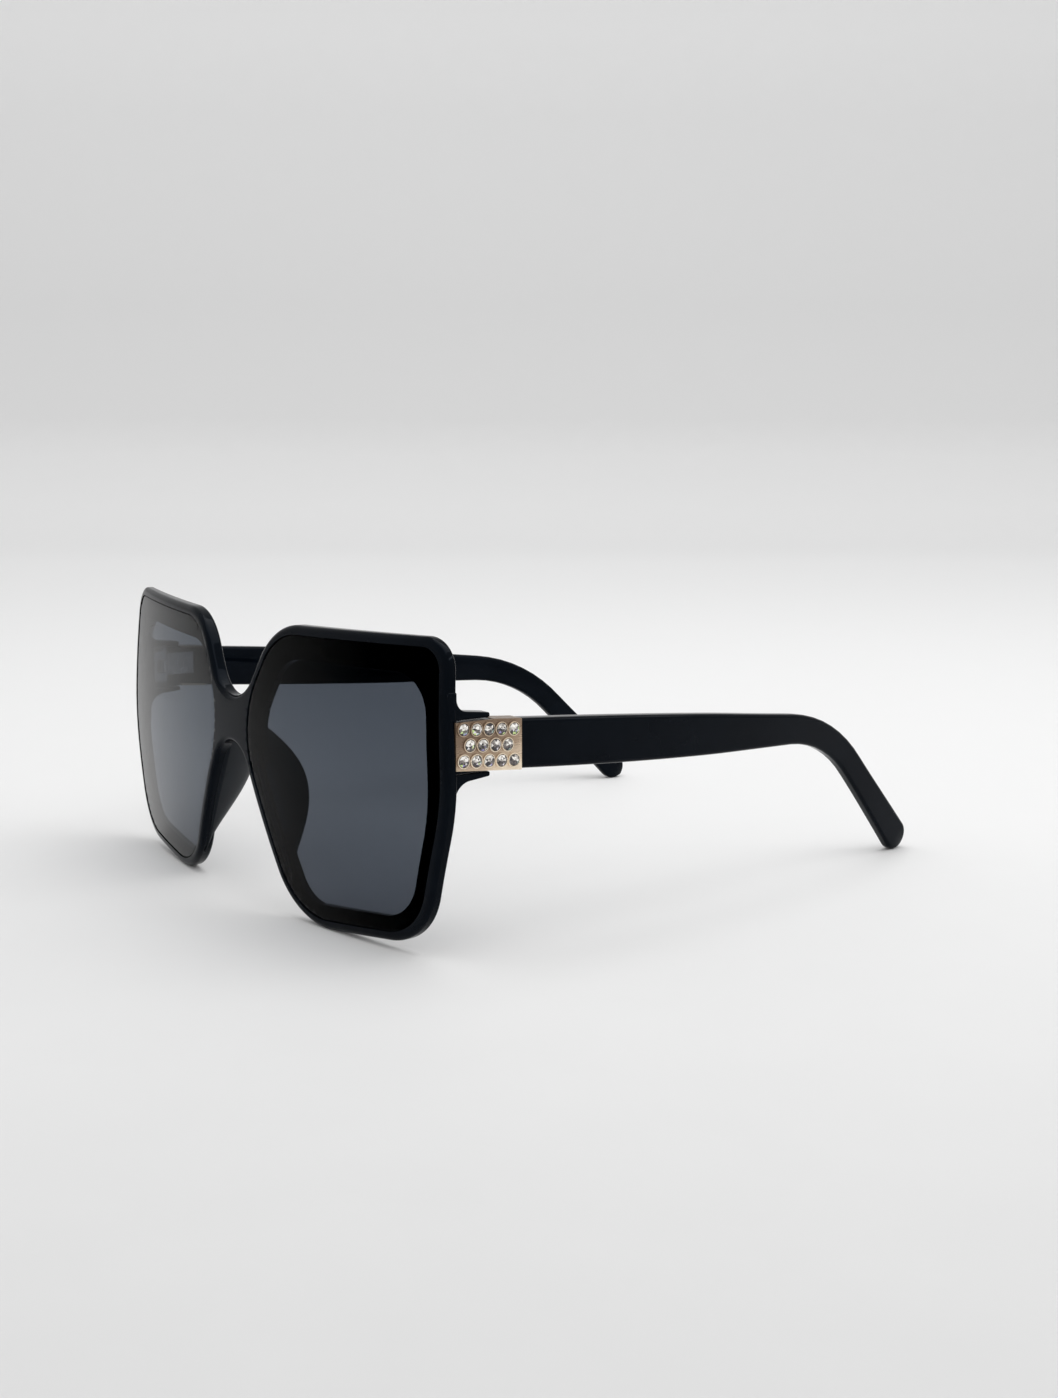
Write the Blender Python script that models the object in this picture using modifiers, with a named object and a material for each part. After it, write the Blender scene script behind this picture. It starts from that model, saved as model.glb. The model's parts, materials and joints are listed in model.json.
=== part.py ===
import math

import bmesh
import bpy
from mathutils import Matrix, Vector

# Oversized square sunglasses with flush lenses and a stone-set metal plate on each temple.
# The front faces -Y, the temples run to +Y, +X is the wearer's left, and Z = 0 is the table.
# The origin lies on the table, under the middle of the whole length.
# All lengths are in metres and all angles in radians.

# Front: lens outline, rim and curvature
LENS_OUTER_X = 0.0720
LENS_HEIGHT = 0.0617
TOP_NASAL_RADIUS = 0.0142
TOP_OUTER_RADIUS = 0.0050
SIDE_RADIUS = 0.0427
LOW_OUTER_RADIUS = 0.0132
LOW_NASAL_RADIUS = 0.0165
BRIDGE_SIDE_RADIUS = 0.0213
LENS_THICKNESS = 0.0016
LENS_RECESS = 0.0002
LENS_CLEARANCE = 0.0003
LIP_WIDTH = 0.0020
RIM_DEPTH = 0.0037
RIM_EDGE_ROUND = 0.0006
FRONT_CURVE_RADIUS = 0.280
BACK_CURVE_RADIUS = 0.315
NOTCH_RADIUS = 0.0105
ARCH_RADIUS = 0.0083

# Corners of a lens, from the nasal top corner outwards and round, as shares of its outer x and height
LENS_CORNER_SHARES = (
    (0.253, 0.982),
    (0.974, 1.003),
    (1.006, 0.499),
    (0.900, 0.042),
    (0.353, -0.018),
    (0.065, 0.637),
)

# Ledge behind the lens, on each side of the opening, and the corners of the opening
TOP_LEDGE = 0.0056
OUTER_LEDGE = 0.0050
LOW_SIDE_LEDGE = 0.0042
LOW_LEDGE = 0.0025
NOSE_LEDGE = 0.0044
NASAL_LEDGE = 0.0042
OPENING_TOP_NASAL_RADIUS = 0.0110
OPENING_TOP_OUTER_RADIUS = 0.0090
OPENING_SIDE_RADIUS = 0.0400
OPENING_LOW_OUTER_RADIUS = 0.0110
OPENING_LOW_NASAL_RADIUS = 0.0130
OPENING_BRIDGE_SIDE_RADIUS = 0.0150

# Nose pads, moulded on the back of the nasal rims
PAD_RISE = 0.0110
PAD_FALL = 0.0190
PAD_REACH = 0.0085
PAD_THICKNESS = 0.0046
PAD_SPLAY = math.radians(30.0)
PAD_HEIGHT_SHARE = 0.41
PAD_ROOT_SHARE = 0.40

# Temple: side view, plan view and section
TEMPLE_OUTSET = 0.0016
TEMPLE_THICKNESS = 0.0039
TEMPLE_TIP_THICKNESS = 0.0030
TEMPLE_HEIGHT = 0.0103
TEMPLE_LEVEL_SHARE = 0.6935
TEMPLE_STRAIGHT = 0.1000
TEMPLE_DROP = math.radians(4.6)
EAR_BEND_RADIUS = 0.0390
EAR_ANGLE = math.radians(45.5)
TEMPLE_BOW = 0.0150
TEMPLE_EDGE_ROUND = 0.0009
TIP_ROUND = 0.0042
TIP_FLAT_SHARE = 0.55
TEMPLE_ROOT = 0.0020
EDGE_LIMIT_SHARE = 0.45

# Height along the temple, as pairs of a share of its length and a share of its full height
TEMPLE_HEIGHT_SHARES = (
    (0.00, 1.00),
    (0.24, 1.00),
    (0.43, 0.91),
    (0.56, 0.765),
    (0.645, 0.68),
    (0.80, 0.62),
    (0.93, 0.70),
    (1.00, 0.76),
)

# Hinge seat and tabs at the ends of the front
SEAT_TRIM = 0.0008
SEAT_BUILD = 0.0016
JOINT_GAP = 0.0003
TAB_REACH = 0.0076
TAB_TIP = 0.0011
TAB_ROOT = 0.0039
TAB_NECK = 0.0023
TAB_NECK_REACH = 0.0016
TAB_FILLET = 0.0010
TAB_ROOT_DEPTH = 0.0009
TAB_EDGE_ROUND = 0.00025

# Ornament plate and stones
PLATE_LENGTH = 0.0160
PLATE_SHEET = 0.0005
PLATE_PROUD = 0.0001
STONE_PITCH = 0.00305
STONE_ROW_PITCH = 0.0032
STONE_FRONT_MARGIN = 0.00165
STONE_RADIUS = 0.00124
STONE_GAP = 0.0001
STONE_CROWN = 0.0004
STONE_GIRDLE = 0.0001
STONE_PAVILION = 0.0009
STONE_TABLE_SHARE = 0.56
STONE_FACETS = 8
STONE_SEAT_SIDES = 12
STONE_ROWS = (5, 4, 5)
SEAT_WALL = 0.00009
SEAT_RISE = 0.0004
SEAT_FOOT = 0.0001

# Hinge: leaves, knuckles, screw and rivets
KNUCKLE_RADIUS = 0.0016
KNUCKLE_HEIGHT = 0.0022
MIDDLE_KNUCKLE_HEIGHT = 0.0030
KNUCKLE_GAP = 0.0002
BORE_RADIUS = 0.0009
LEAF_THICKNESS = 0.0008
FRONT_LEAF_WIDTH = 0.0050
TEMPLE_LEAF_LENGTH = 0.0100
TEMPLE_LEAF_HEIGHT = 0.0056
SCREW_RADIUS = 0.0007
SCREW_HEAD_RADIUS = 0.0013
SCREW_HEAD = 0.0006
SCREW_SLOT = 0.0004
SCREW_SLOT_DEPTH = 0.0003
RIVET_RADIUS = 0.0005
RIVET_HEAD_RADIUS = 0.0009
RIVET_HEAD = 0.00025
RIVET_SHANK = 0.0018
RIVET_GAP = 0.0001
FRONT_RIVET_SPREAD = 0.0046
TEMPLE_RIVET_SPREAD = 0.0050

# Fineness of the model
ARC_STEP = math.radians(9.0)
BEND_CELL = 0.0100
CUT_OVERRUN = 0.0020
ROUND_SIDES = 12
SECTION_CORNER_STEPS = 3
STRAIGHT_STATIONS = 10
BEND_STATIONS = 7
EAR_STATIONS = 4
TIP_STATIONS = 6
PAD_RINGS = 18
LENGTH_PASSES = 4
SMOOTH_ANGLE = math.radians(35.0)
EDGE_ANGLE = math.radians(40.0)
FLAT_ANGLE = math.radians(0.5)
EDGE_STEPS = 2
MERGE = 0.00001


# Scene and collections

for old in list(bpy.data.objects):
    bpy.data.objects.remove(old, do_unlink=True)

parts = bpy.data.collections.new("sunglasses")
cutters = bpy.data.collections.new("cutters")
bpy.context.scene.collection.children.link(parts)
bpy.context.scene.collection.children.link(cutters)


def make_material(name, colour, roughness, metallic=0.0, alpha=1.0):
    material = bpy.data.materials.new(name)
    material.use_nodes = True
    shader = material.node_tree.nodes["Principled BSDF"]
    shader.inputs["Base Color"].default_value = (*colour, 1.0)
    shader.inputs["Roughness"].default_value = roughness
    shader.inputs["Metallic"].default_value = metallic
    shader.inputs["Alpha"].default_value = alpha
    return material


frame_black = make_material("frame_black", (0.010, 0.011, 0.013), 0.16)
temple_black = make_material("temple_black", (0.010, 0.011, 0.013), 0.14)
smoke_lens = make_material("smoke_lens", (0.035, 0.038, 0.048), 0.05, alpha=0.75)
champagne_metal = make_material("champagne_metal", (0.80, 0.62, 0.50), 0.28, metallic=1.0)
crystal = make_material("crystal", (0.86, 0.88, 0.86), 0.03)
hinge_metal = make_material("hinge_metal", (0.55, 0.55, 0.56), 0.32, metallic=1.0)


# Mesh helpers

def new_object(name, mesh, material=None, collection=parts):
    shape = bpy.data.objects.new(name, mesh)
    collection.objects.link(shape)
    if material:
        mesh.materials.clear()
        mesh.materials.append(material)
    return shape


def mesh_from(name, work):
    bmesh.ops.recalc_face_normals(work, faces=work.faces)
    mesh = bpy.data.meshes.new(name)
    work.to_mesh(mesh)
    work.free()
    return mesh


def evaluated_mesh(shape):
    depsgraph = bpy.context.evaluated_depsgraph_get()
    mesh = bpy.data.meshes.new_from_object(shape.evaluated_get(depsgraph))
    mesh.transform(shape.matrix_world)
    return mesh


def add_boolean(shape, tool, operation):
    tool.hide_render = True
    tool.display_type = "WIRE"
    for holder in list(tool.users_collection):
        holder.objects.unlink(tool)
    cutters.objects.link(tool)
    step = shape.modifiers.new(operation.lower() + "_" + tool.name, "BOOLEAN")
    step.operation = operation
    step.solver = "EXACT"
    step.object = tool


def apply_modifiers(shape):
    bpy.context.view_layer.update()
    tools = {step.object for step in shape.modifiers if step.type == "BOOLEAN"}
    raw = shape.data
    shape.data = evaluated_mesh(shape)
    shape.data.name = shape.name
    shape.modifiers.clear()
    shape.matrix_world = Matrix.Identity(4)
    bpy.data.meshes.remove(raw)
    for tool in tools:
        bpy.data.objects.remove(tool)


def join_on(shape, tool):
    add_boolean(shape, tool, "UNION")


def cut_away(shape, tool):
    add_boolean(shape, tool, "DIFFERENCE")


def round_edges(shape, width):
    step = shape.modifiers.new("round_edges", "BEVEL")
    step.limit_method = "ANGLE"
    step.angle_limit = EDGE_ANGLE
    step.width = width
    step.segments = EDGE_STEPS


def finish(shape, material, smooth=True):
    apply_modifiers(shape)
    shape.data.materials.clear()
    shape.data.materials.append(material)
    if smooth:
        shape.data.shade_smooth()
        shape.data.set_sharp_from_angle(angle=SMOOTH_ANGLE)


def box(name, low, high):
    work = bmesh.new()
    bmesh.ops.create_cube(work, size=1.0)
    size = Vector(high) - Vector(low)
    bmesh.ops.scale(work, vec=size, verts=work.verts)
    bmesh.ops.translate(work, vec=(Vector(low) + Vector(high)) / 2, verts=work.verts)
    return new_object(name, mesh_from(name, work))


def upright_cylinder(name, radius, low, high):
    work = bmesh.new()
    height = high[2] - low[2]
    sides = {"segments": ROUND_SIDES, "radius1": radius, "radius2": radius}
    bmesh.ops.create_cone(work, cap_ends=True, depth=height, **sides)
    bmesh.ops.translate(work, vec=(Vector(low) + Vector(high)) / 2, verts=work.verts)
    return new_object(name, mesh_from(name, work))


def turned(name, profile, steps, axis_turn, place):
    # Profile points are (radius, height), from the top down, and the axis is turned from Z by axis_turn
    mesh = bpy.data.meshes.new(name)
    edges = [(i, i + 1) for i in range(len(profile) - 1)]
    mesh.from_pydata([(radius, 0.0, height) for radius, height in profile], edges, [])
    shape = new_object(name, mesh)
    step = shape.modifiers.new("turn", "SCREW")
    step.axis = "Z"
    step.steps = steps
    step.render_steps = steps
    step.use_merge_vertices = True
    step.merge_threshold = MERGE
    shape.rotation_euler = axis_turn
    shape.location = place
    return shape


# Outlines, as lists of (x, z) points

def crossing(point_a, along_a, point_b, along_b):
    scale = along_a.cross(along_b)
    return point_a + along_a * ((point_b - point_a).cross(along_b) / scale)


def inset(corners, distances):
    # The corners run clockwise, so the inside of each edge is on its right
    sides = []
    for i, start in enumerate(corners):
        along = (corners[(i + 1) % len(corners)] - start).normalized()
        inward = Vector((along.y, -along.x))
        sides.append((start + inward * distances[i], along))
    return [crossing(*sides[i - 1], *sides[i]) for i in range(len(corners))]


def rounded(corners, radii):
    points = []
    for i, corner in enumerate(corners):
        before = (corners[i - 1] - corner).normalized()
        after = (corners[(i + 1) % len(corners)] - corner).normalized()
        opening = before.angle(after)
        turn = math.pi - opening
        centre = corner + (before + after).normalized() * (radii[i] / math.sin(opening / 2))
        start = corner + before * (radii[i] / math.tan(opening / 2)) - centre
        way = 1.0 if start.cross(corner - centre) > 0 else -1.0
        steps = max(2, math.ceil(turn / ARC_STEP))
        for k in range(steps + 1):
            spin = Matrix.Rotation(way * turn * k / steps, 2)
            points.append(centre + spin @ start)
    return points


def mirrored_outline(points):
    return [Vector((-point.x, point.y)) for point in reversed(points)]


def outline_solid(name, points, low, high, standing):
    # A filled 2D curve, extruded from low to high along the axis of its standing
    data = bpy.data.curves.new(name, "CURVE")
    data.dimensions = "2D"
    data.fill_mode = "BOTH"
    data.extrude = (high - low) / 2
    spline = data.splines.new("POLY")
    spline.points.add(len(points) - 1)
    for slot, point in zip(spline.points, points):
        slot.co = (point.x, point.y, 0.0, 1.0)
    spline.use_cyclic_u = True
    curve = bpy.data.objects.new(name + "_outline", data)
    parts.objects.link(curve)
    turn, axis = standing
    curve.matrix_world = Matrix.Translation(axis * (low + high) / 2) @ turn
    bpy.context.view_layer.update()
    mesh = evaluated_mesh(curve)
    bpy.data.objects.remove(curve)
    work = bmesh.new()
    work.from_mesh(mesh)
    bmesh.ops.remove_doubles(work, verts=work.verts, dist=MERGE)
    bmesh.ops.dissolve_limit(work, angle_limit=FLAT_ANGLE, verts=work.verts, edges=work.edges)
    work.to_mesh(mesh)
    work.free()
    mesh.name = name
    return new_object(name, mesh)


# How an outline stands: its turn, and the world axis that it is extruded along
UPRIGHT = (Matrix.Rotation(math.radians(90.0), 4, "X"), Vector((0.0, 1.0, 0.0)))
SIDEWAYS = (Matrix(((0, 0, 1, 0), (1, 0, 0, 0), (0, 1, 0, 0), (0, 0, 0, 1))), Vector((1.0, 0.0, 0.0)))

# Turns of a turned piece, so that its top faces the back, the wearer's head or outwards
FACING_BACK = (math.radians(-90.0), 0.0, 0.0)
FACING_IN = (0.0, math.radians(-90.0), 0.0)
FACING_OUT = (0.0, math.radians(90.0), 0.0)

lens_corners = [Vector((x * LENS_OUTER_X, z * LENS_HEIGHT)) for x, z in LENS_CORNER_SHARES]
lens_radii = (
    TOP_NASAL_RADIUS,
    TOP_OUTER_RADIUS,
    SIDE_RADIUS,
    LOW_OUTER_RADIUS,
    LOW_NASAL_RADIUS,
    BRIDGE_SIDE_RADIUS,
)
ledges = (TOP_LEDGE, OUTER_LEDGE, LOW_SIDE_LEDGE, LOW_LEDGE, NOSE_LEDGE, NASAL_LEDGE)
opening_radii = (
    OPENING_TOP_NASAL_RADIUS,
    OPENING_TOP_OUTER_RADIUS,
    OPENING_SIDE_RADIUS,
    OPENING_LOW_OUTER_RADIUS,
    OPENING_LOW_NASAL_RADIUS,
    OPENING_BRIDGE_SIDE_RADIUS,
)


def front_outline():
    # One rim's outline without its bridge side, closed over the nose by a notch and an arch
    rim = inset(lens_corners, [-LIP_WIDTH] * len(lens_corners))
    middle = Vector((0.0, 0.0))
    upward = Vector((0.0, 1.0))
    notch = crossing(middle, upward, rim[5], (rim[0] - rim[5]).normalized())
    arch = crossing(middle, upward, rim[5], (rim[4] - rim[5]).normalized())
    half = rim[:5]
    corners = [notch] + half + [arch] + [Vector((-c.x, c.y)) for c in reversed(half)]
    half_radii = [radius + LIP_WIDTH for radius in lens_radii[:5]]
    radii = [NOTCH_RADIUS] + half_radii + [ARCH_RADIUS] + half_radii[::-1]
    return rounded(corners, radii)


front_points = front_outline()
lift = Vector((0.0, -min(point.y for point in front_points)))
front_points = [point + lift for point in front_points]
lens_corners = [corner + lift for corner in lens_corners]
pocket_points = rounded(inset(lens_corners, [-LENS_CLEARANCE / 2] * len(lens_corners)), lens_radii)
lens_points = rounded(inset(lens_corners, [LENS_CLEARANCE / 2] * len(lens_corners)), lens_radii)
opening_points = rounded(inset(lens_corners, ledges), opening_radii)
curve_centre_z = LENS_HEIGHT / 2


# Curvature of the front: depth is measured from the front face of the rim

def curved_y(x, depth, z):
    flattening = (BACK_CURVE_RADIUS - FRONT_CURVE_RADIUS) * depth / RIM_DEPTH
    radius = FRONT_CURVE_RADIUS + flattening
    return depth + radius - math.sqrt(radius ** 2 - x ** 2 - (z - curve_centre_z) ** 2)


def bend(mesh):
    work = bmesh.new()
    work.from_mesh(mesh)
    for axis in (0, 2):
        low = min(vert.co[axis] for vert in work.verts)
        high = max(vert.co[axis] for vert in work.verts)
        cells = math.ceil((high - low) / BEND_CELL)
        normal = Vector((0.0, 0.0, 0.0))
        normal[axis] = 1.0
        for k in range(1, cells):
            everything = work.verts[:] + work.edges[:] + work.faces[:]
            place = normal * (low + (high - low) * k / cells)
            bmesh.ops.bisect_plane(work, geom=everything, plane_co=place, plane_no=normal, dist=MERGE)
    bmesh.ops.triangulate(work, faces=work.faces)
    for vert in work.verts:
        vert.co.y = curved_y(vert.co.x, vert.co.y, vert.co.z)
    bmesh.ops.recalc_face_normals(work, faces=work.faces)
    work.to_mesh(mesh)
    work.free()


# Places that the front and the temples share

temple_centre_z = lift.y + TEMPLE_LEVEL_SHARE * LENS_HEIGHT
temple_outer_x = LENS_OUTER_X + TEMPLE_OUTSET
temple_inner_x = temple_outer_x - TEMPLE_THICKNESS
seat_y = curved_y(temple_outer_x, RIM_DEPTH, temple_centre_z) - SEAT_TRIM
temple_end_y = seat_y + JOINT_GAP
tab_end_y = seat_y + TAB_REACH
front_leaf_y = seat_y + KNUCKLE_GAP
front_leaf_back_y = front_leaf_y + LEAF_THICKNESS
axis_x = temple_inner_x - KNUCKLE_RADIUS - JOINT_GAP
axis_y = front_leaf_back_y + KNUCKLE_RADIUS + KNUCKLE_GAP
plate_back_y = temple_end_y + PLATE_LENGTH


def temple_edge_z(y, side):
    # Height of the top (side 1) or bottom (side -1) edge of the straight temple, without the tab relief
    centre = temple_centre_z - (y - temple_end_y) * math.tan(TEMPLE_DROP)
    return centre + side * TEMPLE_HEIGHT / 2 / math.cos(TEMPLE_DROP)


tongue_top_z = temple_edge_z(tab_end_y, 1)
upper_tab_z = tongue_top_z + JOINT_GAP
lower_tab_z = temple_edge_z(tab_end_y, -1) - JOINT_GAP
lower_tab_root_z = temple_edge_z(seat_y - TAB_ROOT_DEPTH, -1) - JOINT_GAP


# Front frame

def nasal_edge_x(z):
    # Where the nose side of the rim's outline passes height z
    rim = inset(lens_corners, [-LIP_WIDTH] * len(lens_corners))
    level = crossing(Vector((0.0, z)), Vector((1.0, 0.0)), rim[4], (rim[5] - rim[4]).normalized())
    return level.x


def nose_pad(side):
    # A flattened drop that leans along the nasal rim, with a long tail, and splays outwards to the back
    lean = (lens_corners[4] - lens_corners[5]).angle(Vector((0.0, -1.0)))
    root_z = PAD_HEIGHT_SHARE * LENS_HEIGHT + lift.y
    root_x = nasal_edge_x(root_z) + PAD_THICKNESS / 2
    root_y = curved_y(root_x, RIM_DEPTH - PAD_ROOT_SHARE * RIM_DEPTH, root_z)
    work = bmesh.new()
    bmesh.ops.create_uvsphere(work, u_segments=PAD_RINGS, v_segments=PAD_RINGS, radius=1.0)
    bmesh.ops.scale(work, vec=(PAD_THICKNESS / 2, PAD_REACH, PAD_RISE), verts=work.verts)
    tail = [vert for vert in work.verts if vert.co.z < -MERGE]
    bmesh.ops.scale(work, vec=(1.0, 1.0, PAD_FALL / PAD_RISE), verts=tail)
    everything = work.verts[:] + work.edges[:] + work.faces[:]
    forward = (0.0, -1.0, 0.0)
    cut = bmesh.ops.bisect_plane(work, geom=everything, dist=MERGE, plane_no=forward, clear_outer=True)
    rim_edges = [piece for piece in cut["geom_cut"] if isinstance(piece, bmesh.types.BMEdge)]
    bmesh.ops.contextual_create(work, geom=rim_edges)
    turn = Matrix.Rotation(-lean, 4, "Y") @ Matrix.Rotation(-PAD_SPLAY, 4, "Z")
    bmesh.ops.transform(work, matrix=turn, verts=work.verts)
    bmesh.ops.translate(work, vec=(root_x, root_y, root_z), verts=work.verts)
    bmesh.ops.scale(work, vec=(side, 1.0, 1.0), verts=work.verts)
    return new_object("nose_pad_lobe", mesh_from("nose_pad_lobe", work))


def tab_outline(level, neck_level, way):
    # One tab in side view: the level edge lies next to the temple, way is 1 above it and -1 below
    tip = tab_end_y
    neck = seat_y + TAB_NECK_REACH
    root = seat_y - TAB_ROOT_DEPTH
    rim_face = seat_y
    corners = [
        Vector((root, neck_level)),
        Vector((tip, level)),
        Vector((tip, level + way * TAB_TIP)),
        Vector((neck, level + way * TAB_NECK)),
        Vector((rim_face, level + way * TAB_ROOT)),
        Vector((root, level + way * (TAB_ROOT + TAB_NECK_REACH))),
    ]
    sharp = TAB_EDGE_ROUND
    radii = [sharp, sharp, sharp, TAB_FILLET, TAB_FILLET, sharp]
    return rounded(corners, radii)


def make_front():
    rim = outline_solid("front_frame", front_points, 0.0, RIM_DEPTH, UPRIGHT)
    round_edges(rim, RIM_EDGE_ROUND)
    pocket_depth = LENS_RECESS + LENS_THICKNESS + LENS_CLEARANCE
    block_back = RIM_DEPTH + SEAT_BUILD
    cut_back = RIM_DEPTH + CUT_OVERRUN
    for side in (1, -1):
        opening = opening_points if side > 0 else mirrored_outline(opening_points)
        cut_away(rim, outline_solid("opening_cut", opening, -CUT_OVERRUN, cut_back, UPRIGHT))
        low = (side * (axis_x - KNUCKLE_RADIUS), pocket_depth, temple_edge_z(seat_y, -1) - TAB_TIP)
        high = (side * temple_outer_x, block_back, upper_tab_z + TAB_TIP)
        join_on(rim, box("hinge_block", low, high))
    apply_modifiers(rim)
    bend(rim.data)
    for side in (1, -1):
        join_on(rim, nose_pad(side))
        low = (side * (axis_x - KNUCKLE_RADIUS - CUT_OVERRUN), seat_y, lower_tab_z)
        high = (side * (temple_outer_x + CUT_OVERRUN), tab_end_y, upper_tab_z)
        cut_away(rim, box("seat_cut", low, high))
        tab_side = sorted((side * temple_inner_x, side * temple_outer_x))
        upper = tab_outline(upper_tab_z, upper_tab_z, 1)
        lower = tab_outline(lower_tab_z, lower_tab_root_z, -1)
        join_on(rim, outline_solid("upper_tab", upper, *tab_side, SIDEWAYS))
        join_on(rim, outline_solid("lower_tab", lower, *tab_side, SIDEWAYS))
        pocket = pocket_points if side > 0 else mirrored_outline(pocket_points)
        pocket_tool = outline_solid("lens_pocket", pocket, -CUT_OVERRUN, pocket_depth, UPRIGHT)
        bend(pocket_tool.data)
        cut_away(rim, pocket_tool)
        for z in front_rivet_heights:
            place = (side * front_rivet_x, front_leaf_back_y, z)
            cut_away(rim, rivet_hole(FACING_BACK, place))
    finish(rim, frame_black)
    return rim


# Lenses

def make_lens(side, name):
    points = lens_points if side > 0 else mirrored_outline(lens_points)
    lens = outline_solid(name, points, LENS_RECESS, LENS_RECESS + LENS_THICKNESS, UPRIGHT)
    bend(lens.data)
    finish(lens, smoke_lens)
    return lens


# Temples: rounded sections lofted along the temple's centre line

def smooth_share(table, place):
    # Smooth curve through a table of shares
    for i in range(len(table) - 1):
        if place <= table[i + 1][0] or i == len(table) - 2:
            break
    before = table[max(i - 1, 0)]
    start = table[i]
    end = table[i + 1]
    after = table[min(i + 2, len(table) - 1)]
    span = end[0] - start[0]
    t = (place - start[0]) / span
    slope_start = (end[1] - before[1]) / (end[0] - before[0]) * span
    slope_end = (after[1] - start[1]) / (after[0] - start[0]) * span
    hold = (2 * t ** 3 - 3 * t ** 2 + 1) * start[1] + (3 * t ** 2 - 2 * t ** 3) * end[1]
    return hold + (t ** 3 - 2 * t ** 2 + t) * slope_start + (t ** 3 - t ** 2) * slope_end


def centre_point(s):
    # Height, place and slope of the temple's centre line at the length s from its front end
    turn_length = EAR_BEND_RADIUS * (EAR_ANGLE - TEMPLE_DROP)
    run = min(s, TEMPLE_STRAIGHT)
    y = temple_end_y + run * math.cos(TEMPLE_DROP)
    z = temple_centre_z - run * math.sin(TEMPLE_DROP)
    angle = TEMPLE_DROP
    if s > TEMPLE_STRAIGHT:
        angle = TEMPLE_DROP + min(s - TEMPLE_STRAIGHT, turn_length) / EAR_BEND_RADIUS
        y += EAR_BEND_RADIUS * (math.sin(angle) - math.sin(TEMPLE_DROP))
        z -= EAR_BEND_RADIUS * (math.cos(TEMPLE_DROP) - math.cos(angle))
    rest = max(0.0, s - TEMPLE_STRAIGHT - turn_length)
    return y + rest * math.cos(angle), z - rest * math.sin(angle), angle


def temple_section(s, length, tip_y):
    y, z, angle = centre_point(s)
    height = TEMPLE_HEIGHT * smooth_share(TEMPLE_HEIGHT_SHARES, max(s, 0.0) / length)
    thickness = TEMPLE_THICKNESS + (TEMPLE_TIP_THICKNESS - TEMPLE_THICKNESS) * max(s, 0.0) / length
    past = max(0.0, s - (length - TIP_ROUND)) / TIP_ROUND
    end_share = math.sqrt(max(0.0, 1.0 - past ** 2))
    height *= end_share
    thickness *= TIP_FLAT_SHARE + (1.0 - TIP_FLAT_SHARE) * end_share
    bow = TEMPLE_BOW * max(0.0, (y - temple_end_y) / (tip_y - temple_end_y)) ** 2
    centre = Vector((temple_outer_x - bow - TEMPLE_THICKNESS / 2, y, z))
    corner = min(TEMPLE_EDGE_ROUND, height * EDGE_LIMIT_SHARE, thickness * EDGE_LIMIT_SHARE)
    half_x = thickness / 2 - corner
    half_up = height / 2 - corner
    up = Vector((0.0, math.sin(angle), math.cos(angle)))
    points = []
    for quarter, (sign_x, sign_up) in enumerate(((1, 1), (-1, 1), (-1, -1), (1, -1))):
        for k in range(SECTION_CORNER_STEPS + 1):
            arc = (quarter + k / SECTION_CORNER_STEPS) * math.pi / 2
            across = sign_x * half_x + corner * math.cos(arc)
            along_up = sign_up * half_up + corner * math.sin(arc)
            points.append(centre + Vector((across, 0.0, 0.0)) + up * along_up)
    return points


def temple_stations(length):
    turn_end = TEMPLE_STRAIGHT + EAR_BEND_RADIUS * (EAR_ANGLE - TEMPLE_DROP)
    tip_start = length - TIP_ROUND
    stations = [-TEMPLE_ROOT]
    stations += [TEMPLE_STRAIGHT * k / STRAIGHT_STATIONS for k in range(STRAIGHT_STATIONS)]
    turning = turn_end - TEMPLE_STRAIGHT
    stations += [TEMPLE_STRAIGHT + turning * k / BEND_STATIONS for k in range(BEND_STATIONS)]
    stations += [turn_end + (tip_start - turn_end) * k / EAR_STATIONS for k in range(EAR_STATIONS)]
    reach = [math.sin(math.pi / 2 * k / TIP_STATIONS) for k in range(TIP_STATIONS)]
    return stations + [tip_start + TIP_ROUND * share for share in reach]


def temple_length():
    # Long enough for the tip's lowest point to reach the table
    length = TEMPLE_STRAIGHT + EAR_BEND_RADIUS
    for attempt in range(LENGTH_PASSES):
        tip_y = centre_point(length)[0]
        sections = [temple_section(s, length, tip_y) for s in temple_stations(length)]
        lowest = min(point.z for section in sections for point in section)
        length += lowest / math.sin(EAR_ANGLE)
    return length


def lofted(name, sections):
    work = bmesh.new()
    rings = [[work.verts.new(point) for point in section] for section in sections]
    for ring, following in zip(rings, rings[1:]):
        for i in range(len(ring)):
            j = (i + 1) % len(ring)
            work.faces.new((ring[i], ring[j], following[j], following[i]))
    work.faces.new(rings[0])
    work.faces.new(rings[-1])
    return new_object(name, mesh_from(name, work))


def plate_band(y_start, low_depth, high_depth, side):
    # A strip along the temple's top or bottom edge, between two depths below its surface
    corners = []
    for depth, ends in ((low_depth, (y_start, plate_back_y)), (high_depth, (plate_back_y, y_start))):
        for y in ends:
            corners.append(Vector((y, temple_edge_z(y, side) - side * depth)))
    return corners


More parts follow.
